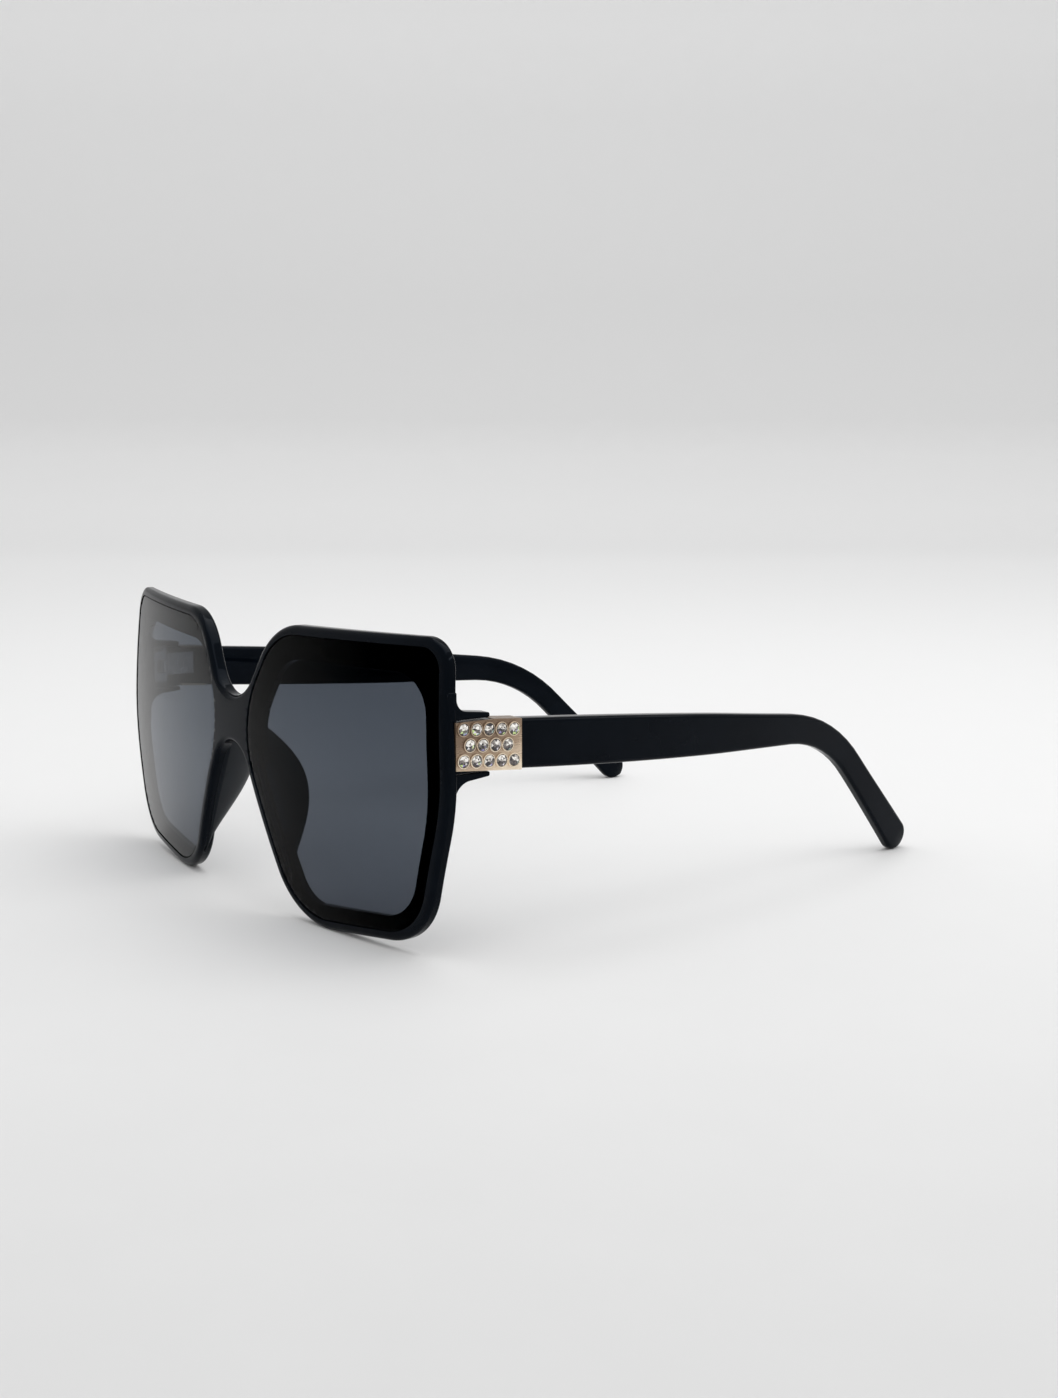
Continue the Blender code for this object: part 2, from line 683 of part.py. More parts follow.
def make_temple():
    length = temple_length()
    tip_y = centre_point(length)[0]
    temple = lofted("temple_left", [temple_section(s, length, tip_y) for s in temple_stations(length)])
    far_x = temple_outer_x + CUT_OVERRUN
    near_x = temple_inner_x - CUT_OVERRUN
    top = temple_centre_z + TEMPLE_HEIGHT
    bottom = temple_centre_z - TEMPLE_HEIGHT
    front_y = temple_end_y - TEMPLE_ROOT - CUT_OVERRUN
    leaf_side_x = axis_x - KNUCKLE_RADIUS + FRONT_LEAF_WIDTH + JOINT_GAP
    leaf_clear_y = front_leaf_back_y + JOINT_GAP
    leaf_end_y = axis_y + TEMPLE_LEAF_LENGTH
    half_leaf = TEMPLE_LEAF_HEIGHT / 2 + RIVET_GAP
    cut_away(temple, box("end_cut", (near_x, front_y, bottom), (far_x, temple_end_y, top)))
    cut_away(temple, box("front_leaf_notch", (near_x, front_y, bottom), (leaf_side_x, leaf_clear_y, top)))
    relief_end_y = tab_end_y + JOINT_GAP
    cut_away(temple, box("tab_relief", (near_x, front_y, tongue_top_z), (far_x, relief_end_y, top)))
    pocket_x = temple_inner_x + LEAF_THICKNESS + RIVET_GAP
    leaf_low = (near_x, front_y, temple_centre_z - half_leaf)
    leaf_high = (pocket_x, leaf_end_y + RIVET_GAP, temple_centre_z + half_leaf)
    cut_away(temple, box("leaf_pocket", leaf_low, leaf_high))
    for y in temple_rivet_places:
        cut_away(temple, rivet_hole(FACING_IN, (temple_inner_x, y, temple_centre_z)))
    wall = PLATE_SHEET + STONE_GAP - PLATE_PROUD
    face_low = (temple_outer_x - wall, front_y, bottom)
    cut_away(temple, box("plate_face_cut", face_low, (far_x, plate_back_y + STONE_GAP, top)))
    for side, label in ((1, "top"), (-1, "bottom")):
        strip = plate_band(tab_end_y, wall, -CUT_OVERRUN, side)
        for corner in (strip[1], strip[2]):
            corner.x += STONE_GAP
        cut_away(temple, outline_solid("plate_" + label + "_cut", strip, near_x, far_x, SIDEWAYS))
    finish(temple, temple_black)
    return temple


# Ornament plate: a face with rows of stone seats and a fold over the top and bottom of the temple

def stone_places():
    places = []
    rows = len(STONE_ROWS)
    for row, count in enumerate(STONE_ROWS):
        offset = ((rows - 1) / 2 - row) * STONE_ROW_PITCH
        start = temple_end_y + STONE_FRONT_MARGIN + (max(STONE_ROWS) - count) * STONE_PITCH / 2
        for k in range(count):
            y = start + k * STONE_PITCH
            middle = (temple_edge_z(y, 1) + temple_edge_z(y, -1)) / 2
            places.append((temple_outer_x + PLATE_PROUD, y, middle + offset))
    return places


def make_plate():
    outer_x = temple_outer_x + PLATE_PROUD
    fold_y = tab_end_y + JOINT_GAP
    proud = -PLATE_PROUD
    bottom_front = Vector((temple_end_y, temple_edge_z(temple_end_y, -1)))
    bottom_back = Vector((plate_back_y, temple_edge_z(plate_back_y, -1) + proud))
    top_back = Vector((plate_back_y, temple_edge_z(plate_back_y, 1) - proud))
    top_fold = Vector((fold_y, temple_edge_z(fold_y, 1) - proud))
    relief_back = Vector((fold_y, tongue_top_z))
    relief_front = Vector((temple_end_y, tongue_top_z))
    face = [bottom_front, relief_front, relief_back, top_fold, top_back, bottom_back]
    plate = outline_solid("ornament_plate_left", face, outer_x - PLATE_SHEET, outer_x, SIDEWAYS)
    for side, label in ((1, "top"), (-1, "bottom")):
        strip = plate_band(fold_y, PLATE_SHEET + proud, proud, side)
        fold_x = outer_x - PLATE_SHEET / 2
        join_on(plate, outline_solid("plate_" + label + "_fold", strip, temple_inner_x, fold_x, SIDEWAYS))
    for place in stone_places():
        join_on(plate, turned("stone_seat", seat_profile(), STONE_SEAT_SIDES, FACING_OUT, place))
    for place in stone_places():
        cut_away(plate, turned("stone_socket", socket_profile(), STONE_SEAT_SIDES, FACING_OUT, place))
    finish(plate, champagne_metal)
    return plate


def seat_profile():
    outer = STONE_RADIUS + STONE_GAP + SEAT_WALL
    return [(0.0, SEAT_RISE), (outer, SEAT_RISE), (outer, -SEAT_FOOT), (0.0, -SEAT_FOOT)]


def socket_profile():
    # Follows the stone's back at an even gap
    inner = STONE_RADIUS + STONE_GAP
    girdle = SEAT_RISE - STONE_GIRDLE - STONE_GAP
    slope = STONE_PAVILION / STONE_RADIUS
    floor = -PLATE_SHEET - STONE_GAP
    back = max(inner - (girdle - floor) / slope, STONE_GAP)
    top = SEAT_RISE + STONE_CROWN
    return [(0.0, top), (inner, top), (inner, girdle), (back, floor), (0.0, floor)]


def stone_profile():
    girdle = SEAT_RISE - STONE_GIRDLE
    table = STONE_RADIUS * STONE_TABLE_SHARE
    top = SEAT_RISE + STONE_CROWN
    crown = [(0.0, top), (table, top), (STONE_RADIUS, SEAT_RISE)]
    return crown + [(STONE_RADIUS, girdle), (0.0, girdle - STONE_PAVILION)]


def make_stones():
    stones = []
    for number, place in enumerate(stone_places(), start=1):
        stone = turned("stone_left_%02d" % number, stone_profile(), STONE_FACETS, FACING_OUT, place)
        finish(stone, crystal, smooth=False)
        stones.append(stone)
    return stones


# Hinge: two leaves with three knuckles, a screw through them and countersunk rivets

hinge_height = 2 * KNUCKLE_HEIGHT + MIDDLE_KNUCKLE_HEIGHT + 2 * KNUCKLE_GAP
hinge_low_z = temple_centre_z - hinge_height / 2
hinge_high_z = temple_centre_z + hinge_height / 2
front_rivet_x = axis_x + KNUCKLE_RADIUS + RIVET_HEAD_RADIUS
front_rivet_heights = [temple_centre_z + side * FRONT_RIVET_SPREAD / 2 for side in (-1, 1)]
leaf_middle_y = axis_y + (KNUCKLE_RADIUS + TEMPLE_LEAF_LENGTH) / 2
temple_rivet_places = [leaf_middle_y + side * TEMPLE_RIVET_SPREAD / 2 for side in (-1, 1)]


def rivet_profile(gap=0.0):
    # With a gap it is the profile of the rivet's hole, which runs out past the head
    head = RIVET_HEAD_RADIUS + gap
    shank = RIVET_RADIUS + gap
    end = -RIVET_SHANK - gap
    top = [(0.0, CUT_OVERRUN), (head, CUT_OVERRUN)] if gap else [(0.0, 0.0)]
    return top + [(head, 0.0), (shank, -RIVET_HEAD), (shank, end), (0.0, end)]


def rivet_hole(axis_turn, place):
    return turned("rivet_hole", rivet_profile(RIVET_GAP), ROUND_SIDES, axis_turn, place)


def knuckle(name, low, high):
    return upright_cylinder(name, KNUCKLE_RADIUS, (axis_x, axis_y, low), (axis_x, axis_y, high))


def bore():
    low = (axis_x, axis_y, hinge_low_z - CUT_OVERRUN)
    high = (axis_x, axis_y, hinge_high_z + CUT_OVERRUN)
    return upright_cylinder("hinge_bore", BORE_RADIUS, low, high)


def make_front_leaf():
    side_x = axis_x - KNUCKLE_RADIUS
    low = (side_x, front_leaf_y, hinge_low_z)
    leaf = box("front_leaf_left", low, (side_x + FRONT_LEAF_WIDTH, front_leaf_back_y, hinge_high_z))
    for low_z in (hinge_low_z, hinge_high_z - KNUCKLE_HEIGHT):
        high_z = low_z + KNUCKLE_HEIGHT
        web_low = (side_x, front_leaf_back_y - LEAF_THICKNESS / 2, low_z)
        join_on(leaf, box("front_web", web_low, (axis_x + KNUCKLE_RADIUS / 2, axis_y, high_z)))
        join_on(leaf, knuckle("front_knuckle", low_z, high_z))
    cut_away(leaf, bore())
    for z in front_rivet_heights:
        cut_away(leaf, rivet_hole(FACING_BACK, (front_rivet_x, front_leaf_back_y, z)))
    finish(leaf, hinge_metal)
    return leaf


def make_temple_leaf():
    half = MIDDLE_KNUCKLE_HEIGHT / 2
    half_leaf = TEMPLE_LEAF_HEIGHT / 2
    low = (temple_inner_x, axis_y - KNUCKLE_RADIUS / 2, temple_centre_z - half_leaf)
    high = (temple_inner_x + LEAF_THICKNESS, axis_y + TEMPLE_LEAF_LENGTH, temple_centre_z + half_leaf)
    leaf = box("temple_leaf_left", low, high)
    web_low = (axis_x, axis_y - KNUCKLE_RADIUS / 2, temple_centre_z - half)
    web_high = (temple_inner_x + LEAF_THICKNESS / 2, axis_y + KNUCKLE_RADIUS, temple_centre_z + half)
    join_on(leaf, box("middle_web", web_low, web_high))
    join_on(leaf, knuckle("middle_knuckle", temple_centre_z - half, temple_centre_z + half))
    cut_away(leaf, bore())
    for y in temple_rivet_places:
        cut_away(leaf, rivet_hole(FACING_IN, (temple_inner_x, y, temple_centre_z)))
    finish(leaf, hinge_metal)
    return leaf


def make_screw():
    seat = hinge_high_z + KNUCKLE_GAP
    foot = hinge_low_z - seat
    head = [(0.0, SCREW_HEAD), (SCREW_HEAD_RADIUS, SCREW_HEAD), (SCREW_HEAD_RADIUS, 0.0)]
    profile = head + [(SCREW_RADIUS, 0.0), (SCREW_RADIUS, foot), (0.0, foot)]
    screw = turned("hinge_screw_left", profile, ROUND_SIDES, (0.0, 0.0, 0.0), (axis_x, axis_y, seat))
    top = seat + SCREW_HEAD
    low = (axis_x - SCREW_HEAD_RADIUS - CUT_OVERRUN, axis_y - SCREW_SLOT / 2, top - SCREW_SLOT_DEPTH)
    high = (axis_x + SCREW_HEAD_RADIUS + CUT_OVERRUN, axis_y + SCREW_SLOT / 2, top + CUT_OVERRUN)
    cut_away(screw, box("screw_slot", low, high))
    finish(screw, hinge_metal)
    return screw


def make_rivets():
    rivets = []
    for number, z in enumerate(front_rivet_heights, start=1):
        place = (front_rivet_x, front_leaf_back_y, z)
        name = "front_rivet_left_%d" % number
        rivets.append(turned(name, rivet_profile(), ROUND_SIDES, FACING_BACK, place))
    for number, y in enumerate(temple_rivet_places, start=1):
        place = (temple_inner_x, y, temple_centre_z)
        name = "temple_rivet_left_%d" % number
        rivets.append(turned(name, rivet_profile(), ROUND_SIDES, FACING_IN, place))
    for rivet in rivets:
        finish(rivet, hinge_metal)
    return rivets


# Assembly: each temple and what it carries hangs from an empty on its hinge axis

def mirrored_copy(shape):
    mesh = shape.data.copy()
    mesh.transform(Matrix.Scale(-1.0, 4, (1.0, 0.0, 0.0)))
    mesh.flip_normals()
    copy = bpy.data.objects.new(shape.name.replace("left", "right"), mesh)
    mesh.name = copy.name
    parts.objects.link(copy)
    return copy


def hinge_empty(name, x):
    empty = bpy.data.objects.new(name, None)
    empty.location = (x, axis_y, temple_centre_z)
    parts.objects.link(empty)
    return empty


def hang(shape, empty):
    shape.data.transform(Matrix.Translation(-empty.location))
    shape.parent = empty


front = make_front()
make_lens(1, "lens_left")
make_lens(-1, "lens_right")

rivets = make_rivets()
fixed_left = [make_front_leaf(), make_screw()] + rivets[:2]
moving_left = [make_temple(), make_plate(), make_temple_leaf()] + rivets[2:] + make_stones()
hinge_left = hinge_empty("hinge_left", axis_x)
hinge_right = hinge_empty("hinge_right", -axis_x)
for piece in fixed_left:
    mirrored_copy(piece)
temple = moving_left[0]
front_end_y = min(vert.co.y for vert in front.data.vertices)
back_end_y = max(vert.co.y for vert in temple.data.vertices)
for piece in moving_left:
    hang(mirrored_copy(piece), hinge_right)
    hang(piece, hinge_left)
for shape in parts.objects:
    if not shape.parent:
        shape.location.y -= (front_end_y + back_end_y) / 2
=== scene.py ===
import json
import math
import random

import bmesh
import bpy
from mathutils import Matrix, Vector


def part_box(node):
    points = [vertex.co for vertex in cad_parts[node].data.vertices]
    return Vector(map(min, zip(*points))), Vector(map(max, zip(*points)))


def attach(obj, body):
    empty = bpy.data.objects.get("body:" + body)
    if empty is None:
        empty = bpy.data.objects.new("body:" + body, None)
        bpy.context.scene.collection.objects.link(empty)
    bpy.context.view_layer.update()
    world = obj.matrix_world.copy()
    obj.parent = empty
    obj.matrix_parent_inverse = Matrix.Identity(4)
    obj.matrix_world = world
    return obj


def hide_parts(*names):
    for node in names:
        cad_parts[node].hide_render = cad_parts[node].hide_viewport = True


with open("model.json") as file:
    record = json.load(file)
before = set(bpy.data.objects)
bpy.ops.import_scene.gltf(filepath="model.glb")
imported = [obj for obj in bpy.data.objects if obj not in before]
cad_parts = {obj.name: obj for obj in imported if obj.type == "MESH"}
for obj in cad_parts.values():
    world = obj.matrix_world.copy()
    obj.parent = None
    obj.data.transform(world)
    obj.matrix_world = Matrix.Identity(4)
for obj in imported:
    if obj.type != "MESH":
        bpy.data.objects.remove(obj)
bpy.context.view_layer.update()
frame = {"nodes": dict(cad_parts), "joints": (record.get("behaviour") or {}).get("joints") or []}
print("stage 0: solids loaded,", len(frame["nodes"]), "nodes")

# Oversized square sunglasses. The front faces -Y, +X is the wearer's left, lengths are in metres.
hinge = Vector(frame["joints"][0]["pos_m"])      # screw axis on the wearer's left

front = {
    "hingeSetback": 0.014741,     # foremost point of the rim to the screw axis
    "lensReach": 0.0720,
    "lensHeight": 0.0617,
    "lensLift": 0.002109,         # lens datum above the table
    # lens corners from the nasal top outwards and round, in shares of reach and height
    "cornerShares": [(0.253, 0.982), (0.974, 1.003), (1.006, 0.499),
                     (0.900, 0.042), (0.353, -0.018), (0.065, 0.637)],
    "cornerRadii": [0.0142, 0.0050, 0.0427, 0.0132, 0.0165, 0.0213],
    "ledges": [0.0056, 0.0050, 0.0042, 0.0030, 0.0027, 0.0042],
    "openingRadii": [0.0110, 0.0090, 0.0400, 0.0110, 0.0085, 0.0150],
    "lip": 0.0020,
    "notchRadius": 0.0105,
    "archRadius": 0.0083,
    "depth": 0.0037,
    "pocketDepth": 0.0021,
    "frontCurve": 0.280,
    "backCurve": 0.315,
    "frontRound": 0.00125,
    "backRound": 0.00085,
    "edgeSteps": 7,
    "innerRound": 0.00025,
    "innerSteps": 2,
    "gridSize": 0.0024,
    "overrun": 0.0020,
    "arcStep": math.radians(3.0),
    "leastSteps": 5,
}
frontY = hinge.y - front["hingeSetback"]
curveZ = front["lensHeight"] / 2


# Hand tools: each works on the piece that is named to it

handling = {
    "weld": 0.000005,            # points of an outline that count as one
    "armWeld": 0.00002,
    "cutReach": 0.000002,
    "onFace": 0.00001,           # how near a face's plane an edge of it lies
    "sharp": math.radians(50.0),
    "smooth": math.radians(35.0),
}


def freshStart():
    if bpy.context.object and bpy.context.object.mode != "OBJECT":
        bpy.ops.object.mode_set(mode="OBJECT")
    bpy.ops.object.select_all(action="DESELECT")


def takeUp(piece):
    freshStart()
    piece.select_set(True)
    bpy.context.view_layer.objects.active = piece


def openMesh(piece):
    takeUp(piece)
    bpy.ops.object.mode_set(mode="EDIT")
    bpy.ops.mesh.select_all(action="SELECT")


def closeMesh():
    bpy.ops.object.mode_set(mode="OBJECT")


def pick(piece, kind, test):
    # in edit mode, selects the edges or faces that pass the test
    bpy.ops.mesh.select_mode(type=kind)
    bpy.ops.mesh.select_all(action="DESELECT")
    work = bmesh.from_edit_mesh(piece.data)
    group = {"VERT": work.verts, "EDGE": work.edges, "FACE": work.faces}[kind]
    for item in group:
        if test(item):
            item.select_set(True)
    bmesh.update_edit_mesh(piece.data)


def extrude(way):
    bpy.ops.mesh.extrude_region_move(TRANSFORM_OT_translate={"value": way})


def bevelPicked(piece, test, width, steps):
    openMesh(piece)
    pick(piece, "EDGE", test)
    bpy.ops.mesh.bevel(offset=width, segments=steps, affect="EDGES", clamp_overlap=True)
    closeMesh()


def sharpEdge(edge):
    return len(edge.link_faces) == 2 and edge.calc_face_angle() > handling["sharp"]


def combine(piece, tool, how):
    takeUp(piece)
    step = piece.modifiers.new(how.lower(), "BOOLEAN")
    step.operation = how
    step.solver = "EXACT"
    step.object = tool
    bpy.ops.object.modifier_apply(modifier=step.name)
    bpy.data.objects.remove(tool)


def smooth(piece):
    takeUp(piece)
    bpy.ops.object.shade_smooth_by_angle(angle=handling["smooth"])
    step = piece.modifiers.new("even_normals", "WEIGHTED_NORMAL")
    step.keep_sharp = True
    bpy.ops.object.modifier_apply(modifier=step.name)


def mirrorCopy(piece, name):
    copy = piece.copy()
    copy.data = piece.data.copy()
    copy.name = name
    copy.data.name = name
    bpy.context.scene.collection.objects.link(copy)
    copy.data.transform(Matrix.Scale(-1.0, 4, (1.0, 0.0, 0.0)))
    copy.data.flip_normals()
    return copy


# Outlines: one vertex is spun round every corner and drawn on to the next

def drawOutline(name, corners, radii, seenFromFront=True):
    def place(point):
        if seenFromFront:
            return Vector((point.x, 0.0, point.y))
        return Vector((0.0, point.x, point.y))

    turnAxis = (0.0, -1.0, 0.0) if seenFromFront else (1.0, 0.0, 0.0)
    freshStart()
    bpy.ops.mesh.primitive_plane_add(size=front["lip"])
    piece = bpy.context.object
    piece.name = name
    bpy.ops.object.mode_set(mode="EDIT")
    bpy.ops.mesh.select_mode(type="VERT")
    bpy.ops.mesh.select_all(action="SELECT")
    bpy.ops.mesh.merge(type="CENTER")
    spot = Vector((0.0, 0.0))
    beginning = None
    for i, corner in enumerate(corners):
        before = (corners[i - 1] - corner).normalized()
        after = (corners[(i + 1) % len(corners)] - corner).normalized()
        opening = before.angle(after)
        turn = math.pi - opening
        centre = corner + (before + after).normalized() * (radii[i] / math.sin(opening / 2))
        start = corner + before * (radii[i] / math.tan(opening / 2))
        way = 1.0 if before.cross(after) > 0 else -1.0
        if beginning is None:
            bpy.ops.transform.translate(value=place(start) - place(spot))
            beginning = start
        else:
            extrude(place(start) - place(spot))
        steps = max(front["leastSteps"], math.ceil(turn / front["arcStep"]))
        bpy.ops.mesh.spin(steps=steps, angle=way * turn, center=place(centre), axis=turnAxis)
        spot = corner + after * (radii[i] / math.tan(opening / 2))
    extrude(place(beginning) - place(spot))
    bpy.ops.mesh.select_all(action="SELECT")
    bpy.ops.mesh.remove_doubles(threshold=handling["weld"])
    bpy.ops.mesh.edge_face_add()
    closeMesh()
    return piece


def thicken(piece, low, high, seenFromFront=True):
    # extrudes a drawn outline from low to high, across its own plane
    across = Vector((0.0, 1.0, 0.0)) if seenFromFront else Vector((1.0, 0.0, 0.0))
    openMesh(piece)
    bpy.ops.transform.translate(value=across * low)
    extrude(across * (high - low))
    bpy.ops.mesh.select_all(action="SELECT")
    bpy.ops.mesh.normals_make_consistent(inside=False)
    closeMesh()
    return piece


def sliceUp(piece, spacing):
    # cuts the faces into a grid, so that the piece can be curved
    openMesh(piece)
    for axis in (0, 2):
        places = [vertex.co[axis] for vertex in bmesh.from_edit_mesh(piece.data).verts]
        low, high = min(places), max(places)
        cells = math.ceil((high - low) / spacing)
        normal = Vector((0.0, 0.0, 0.0))
        normal[axis] = 1.0
        for k in range(1, cells):
            bpy.ops.mesh.select_all(action="SELECT")
            cut = normal * (low + (high - low) * k / cells)
            bpy.ops.mesh.bisect(plane_co=cut, plane_no=normal, threshold=handling["cutReach"])
    closeMesh()


def curvedY(x, depth, z):
    # spherical front: depth 0 lies on the front curve and the full depth on the back curve
    radius = front["frontCurve"] + (front["backCurve"] - front["frontCurve"]) * depth / front["depth"]
    return depth + radius - math.sqrt(radius ** 2 - x ** 2 - (z - curveZ) ** 2)


def curveFront(piece):
    openMesh(piece)
    bpy.ops.mesh.quads_convert_to_tris(quad_method="BEAUTY", ngon_method="BEAUTY")
    closeMesh()
    for vertex in piece.data.vertices:
        x, depth, z = vertex.co
        vertex.co.y = frontY + curvedY(x, depth, z)


def insetCorners(corners, distances):
    # the corners run clockwise as seen from the front of the outline
    sides = []
    for i, start in enumerate(corners):
        along = (corners[(i + 1) % len(corners)] - start).normalized()
        sides.append((start + Vector((along.y, -along.x)) * distances[i], along))
    moved = []
    for i in range(len(corners)):
        pointA, alongA = sides[i - 1]
        pointB, alongB = sides[i]
        share = (pointB - pointA).cross(alongB) / alongA.cross(alongB)
        moved.append(pointA + alongA * share)
    return moved


def crossingAtMiddle(start, end):
    share = start.x / (start.x - end.x)
    return Vector((0.0, start.y + (end.y - start.y) * share))


lensCorners = [
    Vector((x * front["lensReach"], z * front["lensHeight"] + front["lensLift"]))
    for x, z in front["cornerShares"]
]


lipCorners = insetCorners(lensCorners, [-front["lip"]] * len(lensCorners))


def otherSide(corners):
    return [Vector((-corner.x, corner.y)) for corner in reversed(corners)]


def sidePrism(name, corners, radii, low, high, side):
    # one lens-shaped prism, for the wearer's left (1) or right (-1)
    if side < 0:
        corners = otherSide(corners)
        radii = radii[::-1]
    return thicken(drawOutline(name, corners, radii), low, high)


# Finishes

def newMaterial(name, colour, roughness, metallic=0.0):
    material = bpy.data.materials.new(name)
    material.use_nodes = True
    shader = material.node_tree.nodes["Principled BSDF"]
    shader.inputs["Base Color"].default_value = (*colour, 1.0)
    shader.inputs["Roughness"].default_value = roughness
    shader.inputs["Metallic"].default_value = metallic
    return material, material.node_tree, shader


def addNode(tree, kind, **settings):
    node = tree.nodes.new(kind)
    for key, value in settings.items():
        setattr(node, key, value)
    return node


def objectNoise(tree, scale, detail=3.0, stretch=(1.0, 1.0, 1.0)):
    place = addNode(tree, "ShaderNodeTexCoord")
    mapping = addNode(tree, "ShaderNodeMapping")
    mapping.inputs["Scale"].default_value = stretch
    noise = addNode(tree, "ShaderNodeTexNoise")
    noise.inputs["Scale"].default_value = scale
    noise.inputs["Detail"].default_value = detail
    tree.links.new(place.outputs["Object"], mapping.inputs["Vector"])
    tree.links.new(mapping.outputs["Vector"], noise.inputs["Vector"])
    return noise


def ramp(tree, source, stops):
    node = addNode(tree, "ShaderNodeValToRGB")
    for k, (position, colour) in enumerate(stops):
        if k < 2:
            stop = node.color_ramp.elements[k]
            stop.position = position
        else:
            stop = node.color_ramp.elements.new(position)
        stop.color = (*colour, 1.0)
    tree.links.new(source, node.inputs["Fac"])
    return node


def vectorMath(tree, operation, source, value=None):
    node = addNode(tree, "ShaderNodeVectorMath", operation=operation)
    tree.links.new(source, node.inputs[0])
    if value:
        node.inputs[1].default_value = value
    return node


def mapped(tree, source, low, high, newLow=0.0, newHigh=1.0):
    node = addNode(tree, "ShaderNodeMapRange")
    for socket, value in zip(("From Min", "From Max", "To Min", "To Max"),
                             (low, high, newLow, newHigh)):
        node.inputs[socket].default_value = value
    tree.links.new(source, node.inputs["Value"])
    return node


def variedShine(tree, shader, noise, span):
    # the noise keeps to the middle of its range, which is stretched over the span
    shine = mapped(tree, noise.outputs["Fac"], 0.3, 0.7, *span)
    tree.links.new(shine.outputs["Result"], shader.inputs["Roughness"])


def cloudedTint(tree, shader, finish):
    # the colour drifts between two tones in soft clouds
    clouds = objectNoise(tree, finish["cloudScale"])
    low, high = finish["cloudSpan"]
    tint = ramp(tree, clouds.outputs["Fac"], [(low, finish["deep"]), (high, finish["worn"])])
    tree.links.new(tint.outputs["Color"], shader.inputs["Base Color"])


def greys(stops):
    return [(position, (tone, tone, tone)) for position, tone in stops]


def bumpFrom(tree, shader, source, strength, distance):
    bump = addNode(tree, "ShaderNodeBump")
    bump.inputs["Strength"].default_value = strength
    bump.inputs["Distance"].default_value = distance
    tree.links.new(source, bump.inputs["Height"])
    tree.links.new(bump.outputs["Normal"], shader.inputs["Normal"])


plastic = {
    "deep": (0.0011, 0.0019, 0.0034),
    "worn": (0.0019, 0.0031, 0.0052),
    "ior": 1.17,
    "sheen": (0.50, 0.60, 0.74, 1.0),
    "cloudScale": 90.0,
    "cloudSpan": (0.35, 0.70),
    "wipeScale": 620.0,
    "wipeStretch": (1.0, 0.35, 1.0),
    "moundScale": 260.0,
    "moundStrength": 0.25,
    "moundHeight": 0.000012,
}


def polishedPlastic(name, polish):
    material, tree, shader = newMaterial(name, plastic["deep"], polish[0])
    shader.inputs["IOR"].default_value = plastic["ior"]
    shader.inputs["Specular Tint"].default_value = plastic["sheen"]
    cloudedTint(tree, shader, plastic)
    wipes = objectNoise(tree, plastic["wipeScale"], 5.0, plastic["wipeStretch"])
    variedShine(tree, shader, wipes, polish)
    mounds = objectNoise(tree, plastic["moundScale"], 1.0)
    bumpFrom(tree, shader, mounds.outputs["Fac"], plastic["moundStrength"], plastic["moundHeight"])
    return material


padSkin = {
    "deep": (0.0022, 0.0030, 0.0042),
    "worn": (0.0045, 0.0058, 0.0078),
    "ior": 1.30,
    "sheen": (0.45, 0.52, 0.62, 1.0),
    "polish": (0.30, 0.40),
    "cloudScale": 140.0,
    "cloudSpan": (0.3, 0.7),
    "grainScale": 3800.0,
    "grainStrength": 0.12,
    "grainHeight": 0.00002,
}


def dullBlack():
    # the pads are moulded with the front and left unpolished
    material, tree, shader = newMaterial("pad_black_dull", padSkin["deep"], padSkin["polish"][0])
    shader.inputs["IOR"].default_value = padSkin["ior"]
    shader.inputs["Specular Tint"].default_value = padSkin["sheen"]
    cloudedTint(tree, shader, padSkin)
    grain = objectNoise(tree, padSkin["grainScale"], 2.0)
    variedShine(tree, shader, grain, padSkin["polish"])
    bumpFrom(tree, shader, grain.outputs["Fac"], padSkin["grainStrength"], padSkin["grainHeight"])
    return material


smokeLens = {
    "heightSpan": (0.004, 0.066),
    # tint of one face from the foot of the lens to its top: darker towards the top, and darker at the
    # foot as painted shade, the glasses' shadow on the table seen through the lens
    "tones": [(0.05, (0.268, 0.288, 0.320)),
              (0.42, (0.300, 0.322, 0.354)),
              (0.80, (0.262, 0.284, 0.316))],
    "mottleScale": 25.0,
    "mottle": 0.06,
    "smearScale": 60.0,
    "polish": (0.008, 0.020),
    "glossPower": 5.0,
    "leastGloss": 0.004,
}


